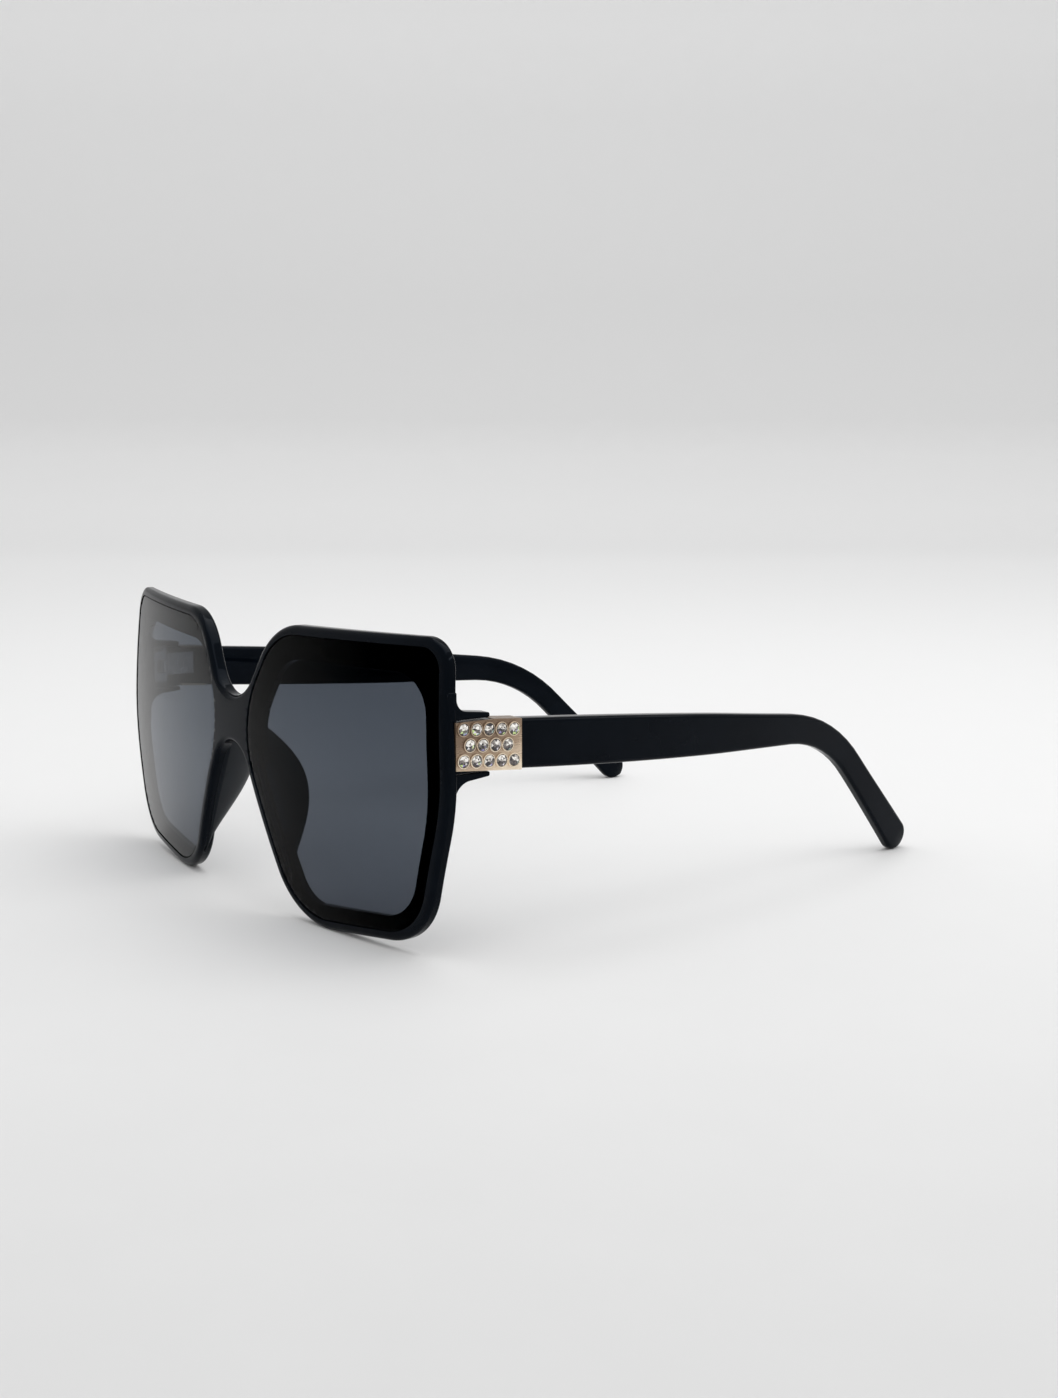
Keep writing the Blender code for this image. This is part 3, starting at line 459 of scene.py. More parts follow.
def smokeTint():
    # grey-blue tint of the whole thickness, shared by the front and the back face
    material, tree, shader = newMaterial("smoke_tint", (0.0, 0.0, 0.0), 0.02)
    tree.nodes.remove(shader)
    place = addNode(tree, "ShaderNodeTexCoord")
    parted = addNode(tree, "ShaderNodeSeparateXYZ")
    tree.links.new(place.outputs["Object"], parted.inputs["Vector"])
    height = mapped(tree, parted.outputs["Z"], *smokeLens["heightSpan"])
    clouds = objectNoise(tree, smokeLens["mottleScale"], 1.0)
    level = addNode(tree, "ShaderNodeMath", operation="MULTIPLY_ADD")
    level.inputs[1].default_value = smokeLens["mottle"]
    tree.links.new(clouds.outputs["Fac"], level.inputs[0])
    tree.links.new(height.outputs["Result"], level.inputs[2])
    # painted shade at the foot of the tint, where the table behind lies in the glasses' shadow
    tint = ramp(tree, level.outputs["Value"], smokeLens["tones"])
    clear = addNode(tree, "ShaderNodeBsdfTransparent")
    tree.links.new(tint.outputs["Color"], clear.inputs["Color"])
    mirror = addNode(tree, "ShaderNodeBsdfGlossy")
    smears = objectNoise(tree, smokeLens["smearScale"], 4.0)
    variedShine(tree, mirror, smears, smokeLens["polish"])
    # hardly any gloss face on, a mirror at a low angle
    angle = addNode(tree, "ShaderNodeLayerWeight")
    rise = addNode(tree, "ShaderNodeMath", operation="POWER")
    rise.inputs[1].default_value = smokeLens["glossPower"]
    tree.links.new(angle.outputs["Facing"], rise.inputs[0])
    gloss = mapped(tree, rise.outputs["Value"], smokeLens["leastGloss"], 1.0)
    # only the outer side of a face shines, so the tint stays clear from behind
    facing = addNode(tree, "ShaderNodeNewGeometry")
    outside = mapped(tree, facing.outputs["Backfacing"], 0.0, 1.0, 1.0, 0.0)
    share = addNode(tree, "ShaderNodeMath", operation="MULTIPLY")
    tree.links.new(gloss.outputs["Result"], share.inputs[0])
    tree.links.new(outside.outputs["Result"], share.inputs[1])
    blend = addNode(tree, "ShaderNodeMixShader")
    tree.links.new(share.outputs["Value"], blend.inputs["Fac"])
    tree.links.new(clear.outputs["BSDF"], blend.inputs[1])
    tree.links.new(mirror.outputs["BSDF"], blend.inputs[2])
    tree.links.new(blend.outputs["Shader"], tree.nodes["Material Output"].inputs["Surface"])
    return material


champagneTone = {
    "slope": (0.0, 20.0, -75.0),     # lighter towards the rear and the bottom of the plate
    "offset": 4.56,
    "stops": [(0.10, (0.22, 0.15, 0.10)), (0.38, (0.40, 0.29, 0.20)),
              (0.70, (0.78, 0.63, 0.47)), (0.95, (1.0, 0.88, 0.70))],
    "seatSpan": (0.0738, 0.0741),    # the seats stand out this far from the middle of the front
    "seatPaintedHighlight": 0.55,                # painted highlight: how much lighter the raised seats are painted than the sheet
    "cloudScale": 420.0,
    "cloudStretch": (1.0, 0.6, 1.0),
    "mottle": 0.55,
    "scratchScale": 2600.0,
    "scratchStretch": (1.0, 0.2, 1.0),
    "scratchStrength": 0.25,
    "scratchHeight": 0.00001,
    "polish": (0.22, 0.42),
}


def champagneSheet():
    material, tree, shader = newMaterial("champagne_sheet", (0.80, 0.66, 0.54), 0.3, 0.55)
    place = addNode(tree, "ShaderNodeTexCoord").outputs["Object"]
    slope = vectorMath(tree, "DOT_PRODUCT", place, champagneTone["slope"])
    clouds = objectNoise(tree, champagneTone["cloudScale"], 4.0, champagneTone["cloudStretch"])
    mixed = addNode(tree, "ShaderNodeMath", operation="MULTIPLY_ADD")
    mixed.inputs[1].default_value = champagneTone["mottle"]
    tree.links.new(clouds.outputs["Fac"], mixed.inputs[0])
    tree.links.new(slope.outputs["Value"], mixed.inputs[2])
    parted = addNode(tree, "ShaderNodeSeparateXYZ")
    tree.links.new(place, parted.inputs["Vector"])
    outward = addNode(tree, "ShaderNodeMath", operation="ABSOLUTE")
    tree.links.new(parted.outputs["X"], outward.inputs[0])
    flat = champagneTone["offset"]
    # painted highlight: the seats are painted lighter with their height above the sheet, their feet
    # left darker as painted shade
    seats = mapped(tree, outward.outputs["Value"], *champagneTone["seatSpan"],
                   flat, flat + champagneTone["seatPaintedHighlight"])
    level = addNode(tree, "ShaderNodeMath", operation="ADD")
    tree.links.new(mixed.outputs["Value"], level.inputs[0])
    tree.links.new(seats.outputs["Result"], level.inputs[1])
    tint = ramp(tree, level.outputs["Value"], champagneTone["stops"])
    tree.links.new(tint.outputs["Color"], shader.inputs["Base Color"])
    scratches = objectNoise(tree, champagneTone["scratchScale"], 3.0, champagneTone["scratchStretch"])
    variedShine(tree, shader, scratches, champagneTone["polish"])
    bumpFrom(tree, shader, scratches.outputs["Fac"], champagneTone["scratchStrength"],
             champagneTone["scratchHeight"])
    return material


steel = {
    "deep": (0.42, 0.42, 0.43),
    "worn": (0.66, 0.66, 0.67),
    "cloudScale": 900.0,
    "cloudSpan": (0.3, 0.7),
    "brushScale": 3000.0,
    "brushStretch": (1.0, 1.0, 0.08),
    "brushStrength": 0.2,
    "brushHeight": 0.00001,
    "polish": (0.24, 0.42),
}


def steelForHinges():
    material, tree, shader = newMaterial("hinge_steel", steel["worn"], steel["polish"][0], 1.0)
    cloudedTint(tree, shader, steel)
    brushing = objectNoise(tree, steel["brushScale"], 3.0, steel["brushStretch"])
    variedShine(tree, shader, brushing, steel["polish"])
    bumpFrom(tree, shader, brushing.outputs["Fac"], steel["brushStrength"], steel["brushHeight"])
    return material


cutGlass = {
    "flawScale": 2500.0,
    "polish": (0.04, 0.12),
    "coat": 0.5,
    "coatPolish": 0.02,
}


def cutCrystal():
    material, tree, shader = newMaterial("cut_crystal", (0.8, 0.8, 0.8), 0.06)
    # the base colour carries the painted reflections and sparkles of each facet
    facet = addNode(tree, "ShaderNodeAttribute", attribute_name="paintedFacetReflection")
    tree.links.new(facet.outputs["Color"], shader.inputs["Base Color"])
    shader.inputs["Coat Weight"].default_value = cutGlass["coat"]
    shader.inputs["Coat Roughness"].default_value = cutGlass["coatPolish"]
    flaws = objectNoise(tree, cutGlass["flawScale"], 2.0)
    variedShine(tree, shader, flaws, cutGlass["polish"])
    return material


frameBlack = polishedPlastic("frame_black_polished", (0.02, 0.045))
templeBlack = polishedPlastic("temple_black_polished", (0.03, 0.06))
padBlack = dullBlack()
smoke = smokeTint()
champagne = champagneSheet()
hingeSteel = steelForHinges()
crystal = cutCrystal()


def dress(piece, material, slotName, body, *nodes):
    piece.data.materials.clear()
    piece.data.materials.append(material)
    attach(piece, body)
    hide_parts(*nodes)


# Front moulding

hingeEnd = {
    "outset": 0.0016,            # temple face outside the lens reach
    "templeThickness": 0.0039,
    "templeHeight": 0.0103,
    "drop": math.radians(4.6),
    "jointGap": 0.0003,
    "seatTrim": 0.0008,
    "tabReach": 0.0090,
    "tabTip": 0.0010,
    "upperSeat": 0.0011,         # back of the rim behind the seat, above and below the temple
    "lowerSeat": 0.0006,
    "tabRootShare": 1.9,         # thickness next to the rim, in shares of the tip's
    "filletShare": 1.8,
    "tabRootDepth": 0.0010,
    "tabRecess": 0.0006,         # tab faces inside the temple face
    "upperFillet": 0.0026,
    "lowerFillet": 0.0040,
    "tipRound": 0.00042,
    "edgeRound": 0.00030,
    "edgeSteps": 3,
    "blockBuild": 0.0016,
    "knuckle": 0.0016,
}
templeOuterX = front["lensReach"] + hingeEnd["outset"]
templeInnerX = templeOuterX - hingeEnd["templeThickness"]
seatY = frontY + curvedY(templeOuterX, front["depth"], hinge.z) - hingeEnd["seatTrim"]
templeEndY = seatY + hingeEnd["jointGap"]
tabEndY = seatY + hingeEnd["tabReach"]


def templeEdgeZ(y, side):
    # top (1) or bottom (-1) edge of the straight part of the temple
    middle = hinge.z - (y - templeEndY) * math.tan(hingeEnd["drop"])
    return middle + side * hingeEnd["templeHeight"] / 2 / math.cos(hingeEnd["drop"])


tongueTopZ = templeEdgeZ(tabEndY, 1)
upperTabZ = tongueTopZ + hingeEnd["jointGap"]
lowerTabZ = templeEdgeZ(tabEndY, -1) - hingeEnd["jointGap"]


def makeTab(side, level, way, fillet, rimBack):
    # side view of one tab: level edge next to the temple, hollow fillet up to the rim
    tip = hingeEnd["tabTip"]
    root = seatY - hingeEnd["tabRootDepth"]
    rimFace = seatY + rimBack
    far = level + way * (tip + fillet * hingeEnd["filletShare"])
    corners = [
        Vector((root, level)),
        Vector((tabEndY, level)),
        Vector((tabEndY, level + way * tip)),
        Vector((rimFace, level + way * tip * hingeEnd["tabRootShare"])),
        Vector((rimFace, far)),
        Vector((root, far)),
    ]
    radii = [hingeEnd["tipRound"]] * len(corners)
    radii[3] = fillet
    tab = drawOutline("tab", corners, radii, seenFromFront=False)
    low, high = sorted((side * templeInnerX, side * (templeOuterX - hingeEnd["tabRecess"])))
    thicken(tab, low, high, seenFromFront=False)
    bevelPicked(tab, sharpEdge, hingeEnd["edgeRound"], hingeEnd["edgeSteps"])
    return tab


def makeBlock(name, low, high, width):
    freshStart()
    size = Vector(high) - Vector(low)
    bpy.ops.mesh.primitive_cube_add(size=1.0, location=(Vector(low) + Vector(high)) / 2)
    block = bpy.context.object
    block.name = name
    block.scale = [abs(length) for length in size]
    bpy.ops.object.transform_apply(location=True, rotation=True, scale=True)
    if width:
        bevelPicked(block, sharpEdge, width, 2)
    return block


def makeFront():
    # the nasal waist corner is cut off at the middle, by the notch above and the arch below
    notch = crossingAtMiddle(lipCorners[5], lipCorners[0])
    arch = crossingAtMiddle(lipCorners[5], lipCorners[4])
    half = lipCorners[:5]
    corners = [notch] + half + [arch] + otherSide(half)
    halfRadii = [radius + front["lip"] for radius in front["cornerRadii"][:5]]
    radii = [front["notchRadius"]] + halfRadii + [front["archRadius"]] + halfRadii[::-1]
    rim = thicken(drawOutline("front_moulding", corners, radii), 0.0, front["depth"])

    def edgeAt(depth):
        return lambda edge: sharpEdge(edge) and all(
            abs(vertex.co.y - depth) < handling["onFace"] for vertex in edge.verts)

    bevelPicked(rim, edgeAt(0.0), front["frontRound"], front["edgeSteps"])
    bevelPicked(rim, edgeAt(front["depth"]), front["backRound"], front["edgeSteps"])
    opening = insetCorners(lensCorners, front["ledges"])
    for side in (1, -1):
        tool = sidePrism("pocket", lensCorners, front["cornerRadii"], -front["overrun"],
                         front["pocketDepth"], side)
        combine(rim, tool, "DIFFERENCE")
        tool = sidePrism("opening", opening, front["openingRadii"], -front["overrun"],
                         front["depth"] + front["overrun"], side)
        combine(rim, tool, "DIFFERENCE")
    for side in (1, -1):
        low = (side * (hinge.x - hingeEnd["knuckle"]),
               front["depth"] - front["backRound"] / 2,
               lowerTabZ - hingeEnd["tabTip"])
        high = (side * (templeOuterX - hingeEnd["tabRecess"]),
                front["depth"] + hingeEnd["blockBuild"],
                upperTabZ + hingeEnd["tabTip"])
        combine(rim, makeBlock("block", low, high, hingeEnd["edgeRound"]), "UNION")

    def openEdge(edge):
        # an edge of the pocket or of the opening
        steps = (0.0, front["pocketDepth"], front["depth"])
        start, end = (vertex.co.y for vertex in edge.verts)
        level = abs(start - end) < handling["onFace"]
        onStep = min(abs(start - step) for step in steps) < handling["onFace"]
        return level and onStep and sharpEdge(edge) and edge.is_convex

    bevelPicked(rim, openEdge, front["innerRound"], front["innerSteps"])
    sliceUp(rim, front["gridSize"])
    curveFront(rim)
    for side in (1, -1):
        low = (side * (hinge.x - hingeEnd["knuckle"] - front["overrun"]), seatY, lowerTabZ)
        high = (side * (templeOuterX + front["overrun"]), tabEndY, upperTabZ)
        combine(rim, makeBlock("seat", low, high, 0.0), "DIFFERENCE")
        tabs = ((upperTabZ, 1, hingeEnd["upperFillet"], hingeEnd["upperSeat"]),
                (lowerTabZ, -1, hingeEnd["lowerFillet"], hingeEnd["lowerSeat"]))
        for level, way, fillet, rimBack in tabs:
            combine(rim, makeTab(side, level, way, fillet, rimBack), "UNION")
    smooth(rim)
    return rim


frontMoulding = makeFront()
dress(frontMoulding, frameBlack, "frame_black", "front", "front_frame")
print("stage 1: front moulding,", len(frontMoulding.data.polygons), "faces")


# Nose pads

pad = {
    "rise": 0.0180,
    "fall": 0.0235,
    "riseFade": 0.70,        # how soon the lobe sinks into the rim, above and below its middle
    "fallFade": 1.30,
    "reach": 0.0096,
    "frontReach": 0.0014,
    "thickness": 0.0046,
    "fullness": 0.25,
    "flankShare": 0.70,      # share of the thinning that is taken off the side of the lens
    "splay": math.radians(9.0),
    "heightShare": 0.4115,
    "rootShare": 0.23,
    "setIn": 0.0002,
    "rings": 48,
}


def makePad():
    top, foot = lipCorners[5], lipCorners[4]
    lean = (lensCorners[4] - lensCorners[5]).angle(Vector((0.0, -1.0)))
    rootZ = pad["heightShare"] * front["lensHeight"] + front["lensLift"]
    share = (rootZ - foot.y) / (top.y - foot.y)
    rootX = foot.x + (top.x - foot.x) * share + pad["thickness"] / 2 - pad["setIn"]
    rootY = frontY + curvedY(rootX, front["depth"] * (1.0 - pad["rootShare"]), rootZ)
    freshStart()
    bpy.ops.mesh.primitive_uv_sphere_add(segments=pad["rings"], ring_count=pad["rings"], radius=1.0)
    lobe = bpy.context.object
    lobe.name = "nose_pad_left"
    half = pad["thickness"] / 2
    for vertex in lobe.data.vertices:
        across, along, up = vertex.co
        left = max(0.0, 1.0 - up ** 2)
        # the lobe runs out softly into the rim, above and below
        reach = pad["reach"] if along > 0 else pad["frontReach"]
        reach *= left ** (pad["riseFade"] if up > 0 else pad["fallFade"])
        x = across * half * max(left, 0.0001) ** -pad["fullness"]
        x -= half * (1.0 - left ** pad["fullness"]) * pad["flankShare"]
        vertex.co = (x, along * reach, up * (pad["rise"] if up > 0 else pad["fall"]))
    turn = Matrix.Rotation(-lean, 4, "Y") @ Matrix.Rotation(-pad["splay"], 4, "Z")
    lobe.data.transform(Matrix.Translation((rootX, rootY, rootZ)) @ turn)
    smooth(lobe)
    return lobe


padLeft = makePad()
padRight = mirrorCopy(padLeft, "nose_pad_right")
dress(padLeft, padBlack, "frame_black", "front", "front_frame")
dress(padRight, padBlack, "frame_black", "front", "front_frame")
print("stage 2: nose pads")


# Lenses

lens = {
    "recess": 0.0002,
    "thickness": 0.0016,
    "gap": 0.00020,
    "edgeRound": 0.00022,
}


def makeLens(side, name):
    corners = insetCorners(lensCorners, [lens["gap"]] * len(lensCorners))
    glass = sidePrism(name, corners, front["cornerRadii"], lens["recess"],
                      lens["recess"] + lens["thickness"], side)
    bevelPicked(glass, sharpEdge, lens["edgeRound"], 2)
    sliceUp(glass, front["gridSize"])
    curveFront(glass)
    smooth(glass)
    return glass


for side, label in ((1, "left"), (-1, "right")):
    dress(makeLens(side, "smoke_" + label), smoke, "smoke_lens", "front", "lens_" + label)
print("stage 3: lenses")


# Temples: a straight bar, shaped along the centre line of the real arm

temple = {
    "thickness": 0.0039,
    "tipThickness": 0.0030,
    "height": 0.0103,
    "straight": 0.1000,
    "earRadius": 0.0390,
    "earAngle": math.radians(45.5),
    "bow": 0.0150,
    "edgeRound": 0.0009,
    "edgeSteps": 4,
    "tipRound": 0.0042,
    "tipFlatShare": 0.55,
    "root": 0.0020,
    # height along the arm, in shares of its length and of its full height
    "heightShares": [(0.00, 1.00), (0.24, 1.00), (0.43, 0.91), (0.56, 0.765),
                     (0.645, 0.68), (0.80, 0.62), (0.93, 0.70), (1.00, 0.76)],
    "stations": 44,
    "tipStations": 12,
    "fitRounds": 5,
    "fitSteps": 20,
}


def heightShare(place):
    # a smooth curve through the heights
    table = temple["heightShares"]
    last = len(table) - 1
    i = 0
    while i < last - 1 and place > table[i + 1][0]:
        i += 1
    start, end = table[i], table[i + 1]
    before, after = table[max(i - 1, 0)], table[min(i + 2, last)]
    span = end[0] - start[0]
    t = (place - start[0]) / span
    slopeStart = (end[1] - before[1]) / (end[0] - before[0]) * span
    slopeEnd = (after[1] - start[1]) / (after[0] - start[0]) * span
    hold = (2 * t ** 3 - 3 * t ** 2 + 1) * start[1] + (3 * t ** 2 - 2 * t ** 3) * end[1]
    return hold + (t ** 3 - 2 * t ** 2 + t) * slopeStart + (t ** 3 - t ** 2) * slopeEnd


def centreLine(s):
    drop = hingeEnd["drop"]
    earLength = temple["earRadius"] * (temple["earAngle"] - drop)
    run = min(s, temple["straight"])
    y = templeEndY + run * math.cos(drop)
    z = hinge.z - run * math.sin(drop)
    angle = drop
    if s > temple["straight"]:
        angle = drop + min(s - temple["straight"], earLength) / temple["earRadius"]
        y += temple["earRadius"] * (math.sin(angle) - math.sin(drop))
        z -= temple["earRadius"] * (math.cos(drop) - math.cos(angle))
    rest = max(0.0, s - temple["straight"] - earLength)
    return y + rest * math.cos(angle), z - rest * math.sin(angle), angle


def squeezed(value, half, newHalf, corner):
    # keeps the rounded corner its size while the flat between the corners shrinks
    if newHalf <= corner:
        return value / half * newHalf
    flat = half - corner
    if abs(value) <= flat:
        return value / flat * (newHalf - corner)
    return math.copysign(newHalf - (half - abs(value)), value)


def templePoint(across, s, up, length):
    y, z, angle = centreLine(s)
    along = max(s, 0.0) / length
    tipY = centreLine(length)[0]
    height = temple["height"] * heightShare(along)
    thickness = temple["thickness"] + (temple["tipThickness"] - temple["thickness"]) * along
    past = max(0.0, s - (length - temple["tipRound"])) / temple["tipRound"]
    endShare = math.sqrt(max(0.0, 1.0 - past ** 2))
    height *= endShare
    thickness *= temple["tipFlatShare"] + (1.0 - temple["tipFlatShare"]) * endShare
    bow = temple["bow"] * max(0.0, (y - templeEndY) / (tipY - templeEndY)) ** 2
    across = squeezed(across, temple["thickness"] / 2, thickness / 2, temple["edgeRound"])
    up = squeezed(up, temple["height"] / 2, height / 2, temple["edgeRound"])
    x = templeOuterX - bow - temple["thickness"] / 2 + across
    return Vector((x, y + up * math.sin(angle), z + up * math.cos(angle)))


def templeLength():
    # long enough for the underside of the tip to reach the table
    length = temple["straight"] + temple["earRadius"]
    steps = temple["fitSteps"]
    for attempt in range(temple["fitRounds"]):
        spots = [length - temple["tipRound"] * k / steps for k in range(steps + 1)]
        lowest = min(templePoint(0.0, s, -temple["height"] / 2, length).z for s in spots)
        length += lowest / math.sin(temple["earAngle"])
    return length


plate = {
    "length": 0.0160,
    "sheet": 0.0005,
    "proud": 0.0001,
    "gap": 0.0001,
    "edgeRound": 0.00012,
    "cornerRound": 0.00008,
    "foldRound": 0.00002,
    "seatRise": 0.00042,
    "seatWall": 0.00017,
    "seatGap": 0.00010,
    "seatFoot": 0.0002,
    "seatRound": 0.0001,
    "socketShare": 0.7,          # depth of a socket in shares of the sheet
    "seatSides": 36,
    "stoneRadius": 0.00119,
}
plateEndY = templeEndY + plate["length"]


def wedge(name, yStart, yEnd, lowDepth, highDepth, side, lowX, highX):
    # a strip along the top or bottom edge of the arm, between two depths under its surface
    corners = [
        Vector((yStart, templeEdgeZ(yStart, side) - side * lowDepth)),
        Vector((yEnd, templeEdgeZ(yEnd, side) - side * lowDepth)),
        Vector((yEnd, templeEdgeZ(yEnd, side) - side * highDepth)),
        Vector((yStart, templeEdgeZ(yStart, side) - side * highDepth)),
    ]
    outline = drawOutline(name, corners, [plate["foldRound"]] * 4, seenFromFront=False)
    return thicken(outline, lowX, highX, seenFromFront=False)


def makeTemple():
    length = templeLength()
    freshStart()
    bpy.ops.mesh.primitive_cube_add(size=1.0, location=(0.0, (length - temple["root"]) / 2, 0.0))
    arm = bpy.context.object
    arm.name = "temple_arm_left"
    arm.scale = (temple["thickness"], length + temple["root"], temple["height"])
    bpy.ops.object.transform_apply(location=True, rotation=True, scale=True)

    def longEdge(edge):
        return abs(edge.verts[0].co.y - edge.verts[1].co.y) > temple["root"]

    bevelPicked(arm, longEdge, temple["edgeRound"], temple["edgeSteps"])
    openMesh(arm)
    tipStart = length - temple["tipRound"]
    places = [tipStart * k / temple["stations"] for k in range(1, temple["stations"])]
    places += [tipStart + temple["tipRound"] * math.sin(math.pi / 2 * k / temple["tipStations"])
               for k in range(temple["tipStations"])]
    for place in places:
        bpy.ops.mesh.select_all(action="SELECT")
        bpy.ops.mesh.bisect(plane_co=(0.0, place, 0.0), plane_no=(0.0, 1.0, 0.0),
                            threshold=handling["cutReach"])
    closeMesh()
    for vertex in arm.data.vertices:
        vertex.co = templePoint(vertex.co.x, vertex.co.y, vertex.co.z, length)
    openMesh(arm)
    bpy.ops.mesh.remove_doubles(threshold=handling["armWeld"])
    closeMesh()
    farX = templeOuterX + front["overrun"]
    nearX = templeInnerX - front["overrun"]
    startY = templeEndY - temple["root"] - front["overrun"]
    top = hinge.z + temple["height"]
    bottom = hinge.z - temple["height"]
    wall = plate["sheet"] + plate["gap"] - plate["proud"]
    leafLow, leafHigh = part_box("temple_leaf_left")
    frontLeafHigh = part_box("front_leaf_left")[1]
    gap = hingeEnd["jointGap"]
    cuts = [
        ((nearX, startY, bottom), (farX, templeEndY, top)),                     # end of the arm
        ((nearX, startY, tongueTopZ), (farX, tabEndY + gap, top)),              # upper tab
        ((nearX, startY, bottom),                                               # front leaf
         (frontLeafHigh.x + gap, hinge.y - hingeEnd["knuckle"] + gap / 3, top)),
        ((nearX, startY, leafLow.z - plate["gap"]),                             # temple leaf
         [place + plate["gap"] for place in leafHigh]),
        ((templeOuterX - wall, startY, bottom), (farX, plateEndY + plate["gap"], top)),     # plate
    ]
    foot = makeBlock("foot", (templeInnerX, templeEndY, templeEdgeZ(tabEndY, -1)),
                     (templeOuterX - wall, tabEndY, hinge.z), 0.0)
    combine(arm, foot, "UNION")
    for low, high in cuts:
        combine(arm, makeBlock("cut", low, high, 0.0), "DIFFERENCE")
    for side in (1, -1):
        tool = wedge("fold_cut", tabEndY, plateEndY + plate["gap"], wall, -front["overrun"],
                     side, nearX, farX)
        combine(arm, tool, "DIFFERENCE")
    smooth(arm)
    return arm


armLeft = makeTemple()
armRight = mirrorCopy(armLeft, "temple_arm_right")
dress(armLeft, templeBlack, "temple_black", "left_temple", "temple_left")
dress(armRight, templeBlack, "temple_black", "right_temple", "temple_right")
print("stage 4: temples")


# Stone-set plates

def stonePlace(number):
    low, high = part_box("stone_left_%02d" % number)
    return Vector((templeOuterX + plate["proud"], (low.y + high.y) / 2, (low.z + high.z) / 2))


stoneCount = sum(1 for name in frame["nodes"] if name.startswith("stone_left"))
stonePlaces = [stonePlace(number) for number in range(1, stoneCount + 1)]


def makeDisc(name, radius, low, high, place, sides):
    # a cylinder whose axis points out of the temple, along X
    freshStart()
    bpy.ops.mesh.primitive_cylinder_add(vertices=sides, radius=radius, depth=high - low)
    disc = bpy.context.object
    disc.name = name
    disc.data.transform(Matrix.Translation(place + Vector(((low + high) / 2, 0.0, 0.0)))
                        @ Matrix.Rotation(math.pi / 2, 4, "Y"))
    return disc


def makePlate():
    outerX = templeOuterX + plate["proud"]
    foldY = tabEndY + hingeEnd["jointGap"]
    proud = plate["proud"]
    corners = [
        Vector((templeEndY, templeEdgeZ(templeEndY, -1))),
        Vector((templeEndY, tongueTopZ)),
        Vector((foldY, tongueTopZ)),
        Vector((foldY, templeEdgeZ(foldY, 1) + proud)),
        Vector((plateEndY, templeEdgeZ(plateEndY, 1) + proud)),
        Vector((plateEndY, templeEdgeZ(plateEndY, -1) - proud)),
    ]
    radii = [plate["cornerRound"]] * len(corners)
    sheet = drawOutline("stone_plate_left", corners, radii, seenFromFront=False)
    thicken(sheet, outerX - plate["sheet"], outerX, seenFromFront=False)
    for side in (1, -1):
        fold = wedge("fold", foldY, plateEndY, plate["sheet"] - proud, -proud, side,
                     templeInnerX, outerX - plate["sheet"] / 2)
        combine(sheet, fold, "UNION")
    bevelPicked(sheet, lambda edge: sharpEdge(edge) and edge.is_convex, plate["edgeRound"], 2)
    inner = plate["stoneRadius"] + plate["seatGap"]
    outer = inner + plate["seatWall"]
    for place in stonePlaces:
        seat = makeDisc("seat", outer, -plate["seatFoot"], plate["seatRise"], place, plate["seatSides"])
        bevelPicked(seat, lambda edge: sharpEdge(edge) and edge.verts[0].co.x > place.x,
                    plate["seatRound"], 2)
        combine(sheet, seat, "UNION")
    for place in stonePlaces:
        socket = makeDisc("socket", inner, -plate["sheet"] * plate["socketShare"],
                          plate["seatRise"] * 2, place, plate["seatSides"])
        combine(sheet, socket, "DIFFERENCE")
    smooth(sheet)
    return sheet


plateLeft = makePlate()
plateRight = mirrorCopy(plateLeft, "stone_plate_right")
dress(plateLeft, champagne, "champagne_metal", "left_temple", "ornament_plate_left")
dress(plateRight, champagne, "champagne_metal", "right_temple", "ornament_plate_right")
print("stage 5: plates,", len(plateLeft.data.polygons), "faces each")


# Stones: a cut crown over a pavilion, with painted reflections and glints fixed to the facets

stone = {
    "crown": 0.00045,
    "girdle": 0.00012,
    "pavilion": 0.0006,
    "tableShare": 0.16,
    "tableInset": 0.45,
    "lowerCrown": 0.6,           # share of the crown's height under its middle tier
    "culetShare": 0.25,
    "sides": 8,
    "seed": 11,
    "tilt": 0.5,
    "bandTop": 0.02,
    "bandFoot": -0.42,
    "brightChance": 0.88,
    "darkChance": 0.94,
    "glintChance": 0.50,
    # painted reflections: the tones that the facets of a colourless stone would mirror
    "bright": [(0.95, 0.92, 0.86), (0.72, 0.69, 0.64), (1.0, 0.98, 0.94),
               (0.50, 0.47, 0.43), (0.27, 0.25, 0.23)],
    "dark": [(0.012, 0.010, 0.010), (0.05, 0.042, 0.045), (0.12, 0.105, 0.10),
             (0.02, 0.018, 0.024), (0.20, 0.17, 0.16)],
    "glints": [(0.70, 0.88, 0.35), (0.38, 0.32, 0.66), (0.92, 0.90, 0.88),
               (0.92, 0.86, 0.95), (0.35, 0.48, 0.42)],
}


